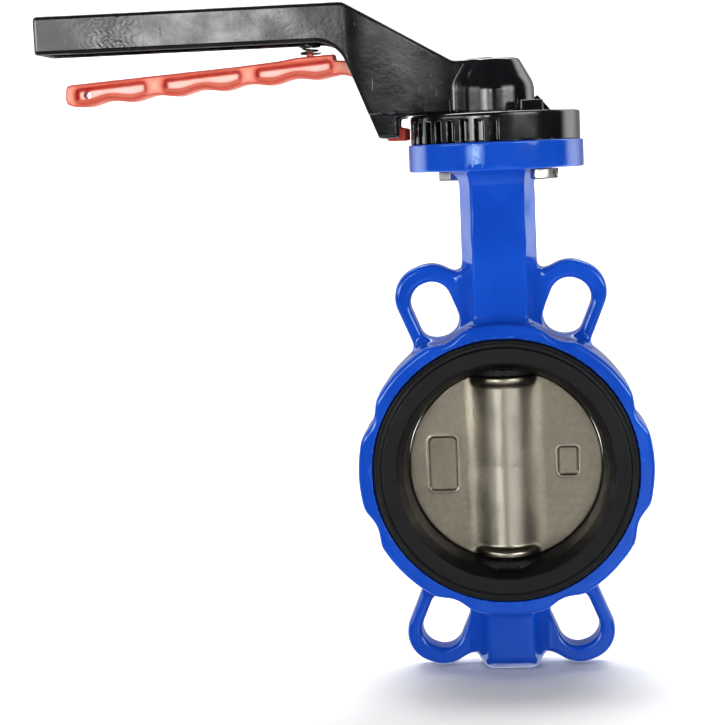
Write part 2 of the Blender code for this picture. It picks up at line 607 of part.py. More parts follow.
def trigger_spring():
    """Round-wire compression spring, wide where it sits on the trigger and narrow inside the cup."""
    sides = 6
    steps = SPRING_TURNS * 12
    rise = (SPRING_Z[1] - SPRING_Z[0] - 2.0 * SPRING_WIRE_R) / steps
    bm = bmesh.new()
    rings = []
    for step in range(steps + 1):
        turn = math.radians(30.0 * step)
        outward = Vector((math.cos(turn), math.sin(turn), 0.0))
        radius = max(SPRING_R, SPRING_FOOT_R - (SPRING_FOOT_R - SPRING_R) * step / 16.0)
        centre = Vector((SPRING_X, 0.0, SPRING_Z[0] + SPRING_WIRE_R + rise * step)) + outward * radius
        ring = []
        for side in range(sides):
            spin = math.radians(360.0 * side / sides)
            offset = (outward * math.cos(spin) + Vector((0.0, 0.0, math.sin(spin)))) * SPRING_WIRE_R
            ring.append(bm.verts.new((centre + offset) * MM))
        rings.append(ring)
    for ring, following in zip(rings, rings[1:]):
        for i in range(sides):
            j = (i + 1) % sides
            bm.faces.new((ring[i], ring[j], following[j], following[i]))
    bm.faces.new(rings[0])
    bm.faces.new(rings[-1])
    return finish(make_object("trigger_spring", bm), STEEL, 60.0)


def set_origin(obj, origin):
    """Move an object's origin to a point given in millimetres, leaving its shape where it is."""
    shift = Vector(origin) * MM
    for vertex in obj.data.vertices:
        vertex.co -= shift
    obj.location = shift


def pivot_empty(name, origin):
    empty = bpy.data.objects.new(name, None)
    empty.location = Vector(origin) * MM
    empty.empty_display_size = 20.0 * MM
    bpy.context.scene.collection.objects.link(empty)
    return empty


def build():
    clear_scene()
    valve_body()
    seat_liner()
    bushes_and_seals()
    notch_plate()
    flange_bolts()
    stem_axis = pivot_empty("stem_axis", (0.0, 0.0, 0.0))
    turning = [valve_disc(), upper_stem(), lower_stem(), stem_retaining_ring(), lever_handle(),
               hub_set_screw(), pivot_pin(), trigger_spring()]
    for obj in turning:
        obj.parent = stem_axis
    latch = trigger()
    set_origin(latch, (PIVOT[0], 0.0, PIVOT[1]))
    latch.parent = stem_axis


build()
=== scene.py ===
"""Looks of the DN 100 wafer butterfly valve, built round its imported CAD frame.

Cast and moulded parts are modelled as distance fields in millimetres and meshed here, so that every
edge and inside corner is rounded as the real casting's is. Turned parts are lathed.
"""
import json
import math

import bmesh
import bpy
import numpy as np
from mathutils import Matrix, Vector


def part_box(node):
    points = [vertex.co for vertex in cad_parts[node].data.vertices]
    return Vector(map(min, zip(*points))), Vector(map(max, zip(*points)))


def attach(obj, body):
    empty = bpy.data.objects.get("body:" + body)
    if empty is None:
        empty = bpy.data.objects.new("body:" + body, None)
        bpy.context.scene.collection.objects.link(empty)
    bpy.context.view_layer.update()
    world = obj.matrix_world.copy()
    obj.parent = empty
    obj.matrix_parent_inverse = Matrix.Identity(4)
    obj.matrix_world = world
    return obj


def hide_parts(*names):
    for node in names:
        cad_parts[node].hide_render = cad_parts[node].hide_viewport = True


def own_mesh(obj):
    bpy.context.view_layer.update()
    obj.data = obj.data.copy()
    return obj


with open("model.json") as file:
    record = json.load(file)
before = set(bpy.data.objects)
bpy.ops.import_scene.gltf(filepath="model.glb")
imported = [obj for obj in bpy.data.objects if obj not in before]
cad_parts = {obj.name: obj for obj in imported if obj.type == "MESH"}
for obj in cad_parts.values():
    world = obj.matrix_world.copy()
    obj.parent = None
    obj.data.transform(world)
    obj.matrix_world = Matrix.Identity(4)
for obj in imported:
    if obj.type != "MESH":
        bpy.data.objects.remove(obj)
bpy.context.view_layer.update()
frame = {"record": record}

MM = 0.001
COARSER = 1.0

# Dimensions shared by several pieces, in millimetres
BOLT_CIRCLE_R = 90.0
LOOP_ANGLE = math.radians(67.5)
RING_R, RING_HALF = 78.0, 24.0           # cast ring
NECK = (19.7, 17.0)                      # half sides of the neck
BOSS = (17.5, 16.0)                      # half sides of the bottom boss
FLANGE_HALF = 7.25                       # half thickness of the top flange
LINER_BED_R, LINER_BED_HALF = 70.4, 21.0
STEM_BORE_R = 8.3
SQUARE_HOLE = 5.8                        # half side of the holes for the stem's square
DISC_R = 52.0
RETAINER_Z = 169.8
BOLT_XY = 24.75                          # each flange bolt from both middle planes
PLATE_TOP, LUG_TOP = 187.3, 192.7
HUB_R, HUB_BASE, HUB_TOP = 21.2, 187.7, 215.6
ARM_BOTTOM, ARM_HALF, WEB_HALF = 227.4, 17.5, 9.5
PIVOT_X, PIVOT_Z, PIVOT_HOLE_R = -62.0, 213.0, 3.3
SPRING_X = -96.2
SCREW_Z = 197.0


# ---------------------------------------------------------------- distance fields, in millimetres

def smin(a, b, k):
    """Union with a fillet about k wide."""
    h = np.maximum(k - np.abs(a - b), 0.0)
    return np.minimum(a, b) - h * h * (0.25 / k)


def smax(a, b, k):
    """Intersection with an edge rounded over about k."""
    return -smin(-a, -b, k)


def edge_max(a, b, r):
    """Intersection of two true distances whose edge has radius r."""
    a, b = a + r, b + r
    return np.minimum(np.maximum(a, b), 0.0) + np.hypot(np.maximum(a, 0.0), np.maximum(b, 0.0)) - r


def box2(u, v, half_u, half_v, r):
    """Rectangle of these half sides, with corners of radius r."""
    return edge_max(np.abs(u) - half_u, np.abs(v) - half_v, r)


def chamfered(u, v, half_u, half_v, cut_u, cut_v):
    """Plane that takes a corner off a rectangle of these half sides."""
    return ((u - half_u + cut_u) * cut_v + (v - half_v) * cut_u) / math.hypot(cut_u, cut_v)


def polygon(u, v, points):
    """Signed distance to a closed outline of (u, v) points."""
    u, v = np.broadcast_arrays(u, v)
    best = np.full(u.shape, 1e9, np.float32)
    inside = np.zeros(u.shape, bool)
    for (au, av), (bu, bv) in zip(points, points[1:] + points[:1]):
        eu, ev = bu - au, bv - av
        wu, wv = u - au, v - av
        t = np.clip((wu * eu + wv * ev) / (eu * eu + ev * ev), 0.0, 1.0)
        best = np.minimum(best, (wu - t * eu) ** 2 + (wv - t * ev) ** 2)
        if av != bv:
            inside ^= ((av > v) != (bv > v)) & (wu < eu * wv / ev)
    return np.where(inside, -1.0, 1.0) * np.sqrt(best)


class Outline:
    """Signed distance to a closed outline of (u, v) points, tabulated for speed."""

    def __init__(self, points, pitch=0.2, margin=8.0):
        self.pitch = pitch
        self.low = np.min(points, axis=0) - margin
        self.count = np.ceil((np.max(points, axis=0) + margin - self.low) / pitch).astype(int) + 1
        u, v = (self.low[i] + pitch * np.arange(self.count[i], dtype=np.float32) for i in (0, 1))
        self.table = polygon(u[:, None], v[None, :], points).astype(np.float32)

    def __call__(self, u, v):
        u, v = np.broadcast_arrays(u, v)
        a = np.clip((u - self.low[0]) / self.pitch, 0.0, self.count[0] - 1.001)
        b = np.clip((v - self.low[1]) / self.pitch, 0.0, self.count[1] - 1.001)
        i, j = a.astype(int), b.astype(int)
        a, b = a - i, b - j
        t = self.table
        return ((t[i, j] * (1.0 - a) + t[i + 1, j] * a) * (1.0 - b)
                + (t[i, j + 1] * (1.0 - a) + t[i + 1, j + 1] * a) * b)


def hexagon(u, v, half, turned):
    """Hexagon of this half width across its flats, the first of them facing turned degrees."""
    flats = [np.abs(u * math.cos(a) + v * math.sin(a)) - half
             for a in np.radians([turned, turned + 60.0, turned + 120.0])]
    return np.maximum(np.maximum(flats[0], flats[1]), flats[2])


def thread_wave(u, v, along, pitch):
    """Rise and fall of a screw thread about its axis, between -1 and 1."""
    return np.cos(2.0 * math.pi * along / pitch - np.arctan2(v, u))


def ripple(x, y, z, length):
    """Smooth wandering value between about -1 and 1, with bumps of this length."""
    k = 2.0 * math.pi / length
    a = np.sin(k * (x + 0.31 * z) + 1.7 * np.sin(0.43 * k * (y - z)))
    b = np.sin(k * (0.83 * z - 0.42 * x) + 1.3 * np.sin(0.57 * k * (x + y)) + 2.1)
    c = np.sin(k * (0.91 * y + 0.27 * x) + 1.1 * np.sin(0.61 * k * (z + 0.4 * x)) + 4.0)
    return (a + b + c) / 3.0


def arc(centre, radius, start, end, steps):
    """Points along an arc between two angles in degrees."""
    angles = [math.radians(start + (end - start) * i / steps) for i in range(steps + 1)]
    return [(centre[0] + radius * math.cos(a), centre[1] + radius * math.sin(a)) for a in angles]


def rounded(corners, steps=8):
    """Outline through (u, v, radius) corners, each rounded by an arc tangent to both its sides."""
    points = []
    for i, (u, v, radius) in enumerate(corners):
        corner = Vector((u, v))
        if radius == 0.0:
            points.append((u, v))
            continue
        before = (Vector(corners[i - 1][:2]) - corner).normalized()
        after = (Vector(corners[(i + 1) % len(corners)][:2]) - corner).normalized()
        half = before.angle(after) / 2.0
        centre = corner + (before + after).normalized() * (radius / math.sin(half))
        first = corner + before * (radius / math.tan(half)) - centre
        last = corner + after * (radius / math.tan(half)) - centre
        for step in range(steps + 1):
            spoke = first.slerp(last, step / steps).normalized()
            points.append(tuple(centre + spoke * radius))
    return points


# ---------------------------------------------------------------- meshing

def gradient(field, points, h):
    """Field value at points, its slope, which points outwards, and its curvature."""
    x, y, z = points.T
    middle = field(x, y, z)
    pairs = [(field(x + h, y, z), field(x - h, y, z)), (field(x, y + h, z), field(x, y - h, z)),
             (field(x, y, z + h), field(x, y, z - h))]
    slope = np.stack([(a - b) / (2.0 * h) for a, b in pairs], axis=1)
    bend = (sum(a + b for a, b in pairs) - 6.0 * middle) / (h * h)
    return middle, slope, bend


def make_object(name, vertices, faces):
    """Object from vertices in millimetres and rows of four vertex numbers for its faces."""
    mesh = bpy.data.meshes.new(name)
    mesh.vertices.add(len(vertices))
    mesh.vertices.foreach_set("co", (np.asarray(vertices) * MM).astype(np.float32).ravel())
    mesh.loops.add(faces.size)
    mesh.loops.foreach_set("vertex_index", faces.astype(np.int32).ravel())
    mesh.polygons.add(len(faces))
    mesh.polygons.foreach_set("loop_start", np.arange(len(faces), dtype=np.int32) * 4)
    mesh.update(calc_edges=True)
    mesh.validate()
    obj = bpy.data.objects.new(name, mesh)
    bpy.context.scene.collection.objects.link(obj)
    return obj


CELL_CORNERS = [(i, j, k) for i in (0, 1) for j in (0, 1) for k in (0, 1)]


def cell_vertices(values):
    """A vertex, in grid steps, in each cell that the surface crosses, and every cell's vertex number."""
    solid = values < 0.0
    shape = [n - 1 for n in solid.shape]
    count = np.zeros(shape, np.int8)
    for i, j, k in CELL_CORNERS:
        count += solid[i:i + shape[0], j:j + shape[1], k:k + shape[2]]
    mixed = (count > 0) & (count < 8)
    cells = np.argwhere(mixed)
    number = np.full(shape, -1, np.int64)
    number[mixed] = np.arange(len(cells))
    at = [values[cells[:, 0] + i, cells[:, 1] + j, cells[:, 2] + k] for i, j, k in CELL_CORNERS]
    total = np.zeros((len(cells), 3))
    crossings = np.zeros(len(cells))
    for m, a in enumerate(CELL_CORNERS):
        for n, b in enumerate(CELL_CORNERS):
            if n <= m or sum(abs(p - q) for p, q in zip(a, b)) != 1:
                continue
            cross = (at[m] < 0.0) != (at[n] < 0.0)
            t = np.where(cross, at[m] / np.where(cross, at[m] - at[n], 1.0), 0.0)[:, None]
            total += cross[:, None] * (np.array(a) + t * (np.array(b) - np.array(a)))
            crossings += cross
    return cells + total / crossings[:, None], number


def cell_faces(solid, number):
    """A quad, facing outwards, across each grid edge that the surface crosses."""
    quads = []
    for axis in range(3):
        one, two = (axis + 1) % 3, (axis + 2) % 3
        inner = [slice(1, -1)] * 3
        before, after = list(inner), list(inner)
        before[axis], after[axis] = slice(0, -1), slice(1, None)
        first, second = solid[tuple(before)], solid[tuple(after)]
        edges = np.argwhere(first != second)
        outward = first[tuple(edges.T)]
        ring = []
        for d_one, d_two in ((0, 0), (1, 0), (1, 1), (0, 1)):
            cell = edges.copy()
            cell[:, one] += d_one
            cell[:, two] += d_two
            ring.append(number[tuple(cell.T)])
        quad = np.stack(ring, axis=1)
        quad[~outward] = quad[~outward][:, ::-1]
        quads.append(quad)
    return np.concatenate(quads)


def thinned(obj, keep):
    """Give an object a mesh with the share keep of its triangles, and return that mesh."""
    thin = obj.modifiers.new("thin", "DECIMATE")
    thin.ratio = keep
    mesh = bpy.data.meshes.new_from_object(obj.evaluated_get(bpy.context.evaluated_depsgraph_get()))
    obj.modifiers.clear()
    obj.data = mesh
    return mesh


def surface(name, field, low, high, step, keep=0.5, marks=None):
    """Mesh of a field's zero surface inside a box, thinned to the share keep of its triangles.

    marks gives further values to store at each vertex, from its place and normal.
    """
    step *= COARSER
    axes = [np.arange(a - 1.5 * step, b + 2.5 * step, step, dtype=np.float32) for a, b in zip(low, high)]
    values = np.broadcast_to(field(*np.ix_(*axes)), [len(a) for a in axes]).astype(np.float32)
    places, number = cell_vertices(values)
    points = places * step + np.array([a[0] for a in axes], float)
    for _ in range(3):    # each time closer to the field's true zero
        value, slope, _ = gradient(field, points, 0.05)
        size = np.maximum((slope ** 2).sum(1), 0.25)
        move = slope * (value / size)[:, None]
        length = np.linalg.norm(move, axis=1, keepdims=True)
        points -= move * np.minimum(1.0, 0.6 * step / np.maximum(length, 1e-9))
    obj = make_object(name, points, cell_faces(values < 0.0, number))
    mesh = thinned(obj, keep)
    co = np.zeros(len(mesh.vertices) * 3, np.float32)
    mesh.vertices.foreach_get("co", co)
    points = co.reshape(-1, 3).astype(float) / MM
    _, slope, bend = gradient(field, points, 0.35)
    normals = slope / np.maximum(np.linalg.norm(slope, axis=1, keepdims=True), 1e-9)
    store(mesh, "bend", np.clip(bend, -2.0, 2.0))
    for mark, values in (marks(points, normals) if marks else {}).items():
        store(mesh, mark, values)
    mesh.shade_smooth()
    mesh.normals_split_custom_set_from_vertices(normals.tolist())
    return obj


def store(mesh, name, values):
    """Give a mesh one value per vertex, which its material can read."""
    attribute = mesh.attributes.new(name, "FLOAT", "POINT")
    attribute.data.foreach_set("value", np.asarray(values, np.float32))


def to_world(axis, u, v, w):
    """Coordinates of points given across (u, v) and along (w) an axis."""
    return {"X": (w, u, v), "Y": (u, w, v), "Z": (u, v, w)}[axis]


def lathe(name, profile, axis="Z", centre=(0.0, 0.0), steps=128):
    """Solid turned about an axis from (radius, height) points; the outline closes on itself."""
    turn = np.linspace(0.0, 2.0 * math.pi, steps, endpoint=False)
    points, faces = [], []
    for radius, height in profile:
        u = centre[0] + radius * np.cos(turn)
        v = centre[1] + radius * np.sin(turn)
        points.append(np.stack(np.broadcast_arrays(*to_world(axis, u, v, height)), axis=1))
    index = np.arange(steps)
    for row in range(len(profile)):
        below = (row + 1) % len(profile)
        if profile[row][0] == 0.0 and profile[below][0] == 0.0:
            continue
        faces.append(np.stack([row * steps + index, row * steps + (index + 1) % steps,
                               below * steps + (index + 1) % steps, below * steps + index], axis=1))
    return clean(make_object(name, np.concatenate(points), np.concatenate(faces)))


def clean(obj, crease=32.0):
    """Merge doubled points, face outwards and smooth below the crease angle."""
    bm = bmesh.new()
    bm.from_mesh(obj.data)
    bmesh.ops.remove_doubles(bm, verts=bm.verts, dist=1e-6)
    bmesh.ops.recalc_face_normals(bm, faces=bm.faces)
    bm.to_mesh(obj.data)
    bm.free()
    obj.data.shade_smooth()
    obj.data.set_sharp_from_angle(angle=math.radians(crease))
    return obj


def box_mm(node):
    """Lowest and highest corner of a CAD node, in millimetres."""
    low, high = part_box(node)
    return np.array(low) / MM, np.array(high) / MM


BODY_OF = {node: body for body, nodes in frame["record"]["behaviour"]["bodies"].items() for node in nodes}


def put(obj, node, paint):
    """Give a piece its material, let it ride on its CAD node's body and stand for that node."""
    obj.data.materials.clear()
    obj.data.materials.append(paint)
    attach(obj, BODY_OF[node])
    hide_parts(node)
    return obj


# ---------------------------------------------------------------- materials

class Paint:
    """A node material, with short calls for the nodes used here."""

    def __init__(self, name, colour, **sockets):
        self.material = bpy.data.materials.new(name)
        self.material.use_nodes = True
        self.tree = self.material.node_tree
        self.shader = self.tree.nodes["Principled BSDF"]
        self.shader.inputs["Base Color"].default_value = (*colour, 1.0)
        for key, value in sockets.items():
            self.shader.inputs[key.replace("_", " ")].default_value = value
        self.where = self.tree.nodes.new("ShaderNodeTexCoord").outputs["Object"]

    def plug(self, value, socket):
        if isinstance(value, (int, float, tuple)):
            socket.default_value = value
        else:
            self.tree.links.new(value, socket)

    def stretched(self, scale, turn=(0.0, 0.0, 0.0)):
        """Object coordinates scaled by axis, for streaks."""
        node = self.tree.nodes.new("ShaderNodeMapping")
        node.inputs["Scale"].default_value = scale
        node.inputs["Rotation"].default_value = turn
        self.tree.links.new(self.where, node.inputs["Vector"])
        return node.outputs["Vector"]

    def noise(self, scale, detail=3.0, rough=0.55, where=None, distortion=0.0):
        node = self.tree.nodes.new("ShaderNodeTexNoise")
        self.tree.links.new(where or self.where, node.inputs["Vector"])
        node.inputs["Scale"].default_value = scale
        node.inputs["Detail"].default_value = detail
        node.inputs["Roughness"].default_value = rough
        node.inputs["Distortion"].default_value = distortion
        return node.outputs["Fac"]

    def cells(self, scale):
        node = self.tree.nodes.new("ShaderNodeTexVoronoi")
        self.tree.links.new(self.where, node.inputs["Vector"])
        node.inputs["Scale"].default_value = scale
        return node.outputs["Distance"]

    def attribute(self, name):
        node = self.tree.nodes.new("ShaderNodeAttribute")
        node.attribute_name = name
        return node.outputs["Fac"]

    def math(self, operation, a, b):
        node = self.tree.nodes.new("ShaderNodeMath")
        node.operation = operation
        self.plug(a, node.inputs[0])
        self.plug(b, node.inputs[1])
        return node.outputs[0]

    def span(self, value, low, high, to_low=0.0, to_high=1.0):
        """Smooth step of a value from one range to another."""
        node = self.tree.nodes.new("ShaderNodeMapRange")
        node.interpolation_type = "SMOOTHSTEP"
        self.plug(value, node.inputs["Value"])
        for key, number in (("From Min", low), ("From Max", high), ("To Min", to_low), ("To Max", to_high)):
            node.inputs[key].default_value = number
        return node.outputs[0]

    def blend(self, factor, a, b):
        node = self.tree.nodes.new("ShaderNodeMix")
        node.data_type = "RGBA"
        self.plug(factor, node.inputs[0])
        for value, socket in ((a, node.inputs[6]), (b, node.inputs[7])):
            self.plug((*value, 1.0) if isinstance(value, tuple) else value, socket)
        return node.outputs[2]

    def colour(self, value):
        self.tree.links.new(value, self.shader.inputs["Base Color"])

    def rough(self, value):
        self.tree.links.new(value, self.shader.inputs["Roughness"])

    def relief(self, *layers):
        """Bump from (height, depth in metres) layers."""
        normal = None
        for height, depth in layers:
            node = self.tree.nodes.new("ShaderNodeBump")
            node.inputs["Distance"].default_value = depth
            self.tree.links.new(height, node.inputs["Height"])
            if normal:
                self.tree.links.new(normal, node.inputs["Normal"])
            normal = node.outputs["Normal"]
        self.tree.links.new(normal, self.shader.inputs["Normal"])
        if self.shader.inputs["Coat Weight"].default_value > 0.0:
            self.tree.links.new(normal, self.shader.inputs["Coat Normal"])


def blue_enamel():
    """Thick glossy epoxy over a rough casting: slow runs, a few specks, a painted highlight along convex
    edges and painted shade in inside corners.
    """
    p = Paint("blue_enamel_paint", (0.008, 0.058, 0.50), Roughness=0.05, Specular_IOR_Level=0.5,
              Specular_Tint=(0.64, 0.93, 1.0, 1.0))
    patches = p.noise(22.0, 3.0)
    colour = p.blend(p.span(patches, 0.35, 0.7), (0.004, 0.050, 0.40), (0.007, 0.068, 0.49))
    # Painted highlight: convex edges painted a lighter blue
    colour = p.blend(p.span(p.attribute("bend"), 0.25, 1.1, 0.0, 0.35), colour, (0.03, 0.13, 0.68))
    # Painted shade: inside corners and fillets painted a darker blue
    colour = p.blend(p.span(p.attribute("bend"), -0.12, -0.6, 0.0, 0.55), colour, (0.004, 0.022, 0.22))
    specks = p.span(p.cells(260.0), 0.10, 0.03)
    colour = p.blend(p.math("MULTIPLY", specks, 0.5), colour, (0.006, 0.03, 0.26))
    p.colour(colour)
    p.rough(p.span(p.noise(70.0, 4.0), 0.3, 0.75, 0.04, 0.10))
    p.relief((p.noise(80.0, 1.0), 0.00010), (p.noise(420.0, 2.0, 0.6), 0.00003), (specks, -0.00006))
    return p.material


def black_enamel(name, base, lively):
    """Semi-gloss black over a casting: pitted skin, handling scratches, grey rubbed edges."""
    p = Paint(name, base, Roughness=0.14, Specular_IOR_Level=0.5)
    lighter = tuple(2.0 * c + 0.002 for c in base)
    colour = p.blend(p.span(p.noise(38.0, 5.0, 0.6), 0.4, 0.75), base, lighter)
    streaks = p.noise(1.0, 3.0, 0.5, p.stretched((900.0, 900.0, 60.0), (0.0, 0.35, 0.0)))
    scratch = p.math("MULTIPLY", p.span(streaks, 0.69, 0.74), p.span(p.noise(30.0, 2.0), 0.5, 0.62))
    colour = p.blend(p.math("MULTIPLY", scratch, lively), colour, (0.12, 0.12, 0.12))
    worn = p.math("MULTIPLY", p.span(p.attribute("bend"), 0.5, 1.5),
                  p.span(p.noise(160.0, 4.0), 0.45, 0.62))
    colour = p.blend(p.math("MULTIPLY", worn, 0.7), colour, (0.16, 0.16, 0.16))
    p.colour(colour)
    p.rough(p.span(p.noise(55.0, 5.0, 0.62), 0.3, 0.75, 0.09, 0.09 + 0.10 * lively))
    p.relief((p.noise(520.0, 3.0, 0.6), 0.000025 * lively), (p.noise(90.0, 2.0), 0.00004 * lively),
             (scratch, -0.00008))
    return p.material


def red_enamel():
    """Semi-gloss red, with painted light on its broad flats and pocket floors, and painted shade along its
    edges, in its corners and pocket walls and low down by the nose.
    """
    p = Paint("red_enamel_paint", (0.80, 0.20, 0.12), Roughness=0.4, Coat_Weight=0.15, Coat_Roughness=0.2)
    colour = p.blend(p.span(p.noise(60.0, 4.0), 0.35, 0.7), (0.79, 0.175, 0.105), (0.86, 0.24, 0.155))
    # Painted light: broad flats painted a lighter salmon
    colour = p.blend(p.attribute("painted_flat_light"), colour, (0.85, 0.40, 0.29))
    # Painted light: pocket floors painted pale pink
    colour = p.blend(p.attribute("floor"), colour, (0.92, 0.64, 0.57))
    # Painted shade: convex edges painted a deep red
    colour = p.blend(p.span(p.attribute("bend"), 0.15, 1.0, 0.0, 0.75), colour, (0.45, 0.035, 0.02))
    # Painted shade: inside corners painted a darker red
    colour = p.blend(p.span(p.attribute("bend"), -0.15, -0.9, 0.0, 0.4), colour, (0.66, 0.09, 0.05))
    # Painted shade: pocket walls and the low part by the nose painted deep red
    colour = p.blend(p.attribute("painted_shade"), colour, (0.38, 0.008, 0.004))
    p.colour(colour)
    p.rough(p.span(p.noise(90.0, 4.0), 0.3, 0.7, 0.32, 0.52))
    p.relief((p.noise(480.0, 3.0), 0.00018), (p.noise(130.0, 2.0), 0.0003))
    return p.material


def rubber():
    """Moulded EPDM: fine matt grain, faint bloom, flow marks round the bore."""
    p = Paint("rubber_skin", (0.010, 0.011, 0.013), Roughness=0.5, Specular_IOR_Level=0.26)
    bloom = p.span(p.noise(26.0, 5.0, 0.65), 0.42, 0.8)
    p.colour(p.blend(bloom, (0.0034, 0.0039, 0.0048), (0.0075, 0.0082, 0.0095)))
    p.rough(p.span(p.noise(48.0, 5.0, 0.6), 0.3, 0.75, 0.40, 0.62))
    p.relief((p.noise(1500.0, 2.0), 0.00006), (p.noise(160.0, 3.0), 0.00022))
    return p.material


def cast_stainless():
    """Blasted cast stainless: warm tint, pits, straight scratches, a painted highlight down the hub's face,
    convex rims painted lighter (partly polish, partly painted highlight) and painted shade in the fillets.
    """
    p = Paint("cast_stainless_skin", (0.50, 0.46, 0.39), Metallic=1.0, Roughness=0.38)
    tint = p.span(p.noise(24.0, 5.0, 0.62), 0.34, 0.72)
    colour = p.blend(tint, (0.38, 0.338, 0.262), (0.46, 0.416, 0.328))
    grain = p.noise(420.0, 4.0, 0.7)
    colour = p.blend(p.span(grain, 0.35, 0.65, 0.0, 0.3), colour, (0.27, 0.235, 0.18))
    # Painted highlight: the hub's face painted brighter
    colour = p.blend(p.attribute("painted_hub_highlight"), colour, (0.55, 0.51, 0.42))
    stains = p.span(p.noise(70.0, 6.0, 0.7, distortion=0.6), 0.60, 0.78)
    colour = p.blend(p.math("MULTIPLY", stains, 0.25), colour, (0.21, 0.175, 0.13))
    fine = p.noise(1.0, 2.0, 0.5, p.stretched((160.0, 160.0, 2600.0), (0.0, 0.75, 0.0)))
    cross = p.noise(1.0, 2.0, 0.5, p.stretched((90.0, 90.0, 2200.0), (0.0, -0.9, 0.0)))
    marks = p.math("MULTIPLY", p.span(cross, 0.70, 0.76), p.span(p.noise(34.0, 2.0), 0.52, 0.62))
    colour = p.blend(p.math("MULTIPLY", marks, 0.5), colour, (0.75, 0.72, 0.66))
    # Convex rims and edges painted lighter: partly polish, partly painted highlight
    colour = p.blend(p.span(p.attribute("bend"), 0.3, 1.4, 0.0, 0.3), colour, (0.60, 0.57, 0.50))
    # Painted shade: fillets and inside corners painted darker
    colour = p.blend(p.span(p.attribute("bend"), -0.05, -0.5, 0.0, 0.8), colour, (0.13, 0.11, 0.085))
    p.colour(colour)
    p.rough(p.span(p.noise(110.0, 5.0, 0.65), 0.3, 0.75, 0.285, 0.335))
    p.relief((p.noise(900.0, 3.0, 0.65), 0.00009), (grain, 0.00006), (fine, 0.00003),
             (marks, -0.00006))
    return p.material


def metal(name, dark, light, rough, grain, depth):
    """Turned or drawn metal with a fine grain across its axis."""
    p = Paint(name, dark, Metallic=1.0, Roughness=rough)
    p.colour(p.blend(p.span(p.noise(120.0, 5.0, 0.6), 0.35, 0.7), dark, light))
    p.rough(p.span(p.noise(210.0, 4.0), 0.3, 0.7, rough - 0.08, rough + 0.12))
    p.relief((p.noise(1.0, 2.0, 0.5, p.stretched(grain)), depth))
    return p.material


BLUE = blue_enamel()
LEVER_BLACK = black_enamel("lever_black_paint", (0.0050, 0.0054, 0.0064), 1.0)
PLATE_BLACK = black_enamel("plate_black_paint", (0.0026, 0.0028, 0.0033), 0.4)
RED = red_enamel()
RUBBER = rubber()
STAINLESS = cast_stainless()
TURNED = metal("turned_stainless_skin", (0.50, 0.50, 0.49), (0.66, 0.66, 0.65), 0.26,
               (60.0, 60.0, 5200.0), 0.00003)
ZINC = metal("zinc_plating", (0.44, 0.44, 0.41), (0.66, 0.65, 0.60), 0.30, (700.0, 700.0, 700.0), 0.00008)
SPRING_STEEL = metal("spring_steel", (0.10, 0.095, 0.09), (0.22, 0.21, 0.20), 0.32,
                     (900.0, 900.0, 900.0), 0.00004)
BRONZE = metal("bearing_bronze", (0.42, 0.25, 0.10), (0.62, 0.42, 0.19), 0.36,
               (60.0, 60.0, 4200.0), 0.00004)


# ---------------------------------------------------------------- the cast body

body_low, body_high = box_mm("valve_body")
liner_low, liner_high = box_mm("seat_liner")
plate_low, plate_high = box_mm("notch_plate")
lever_low, lever_high = box_mm("lever_handle")
FLANGE_R = body_high[1]
FLANGE_TOP = body_high[2]


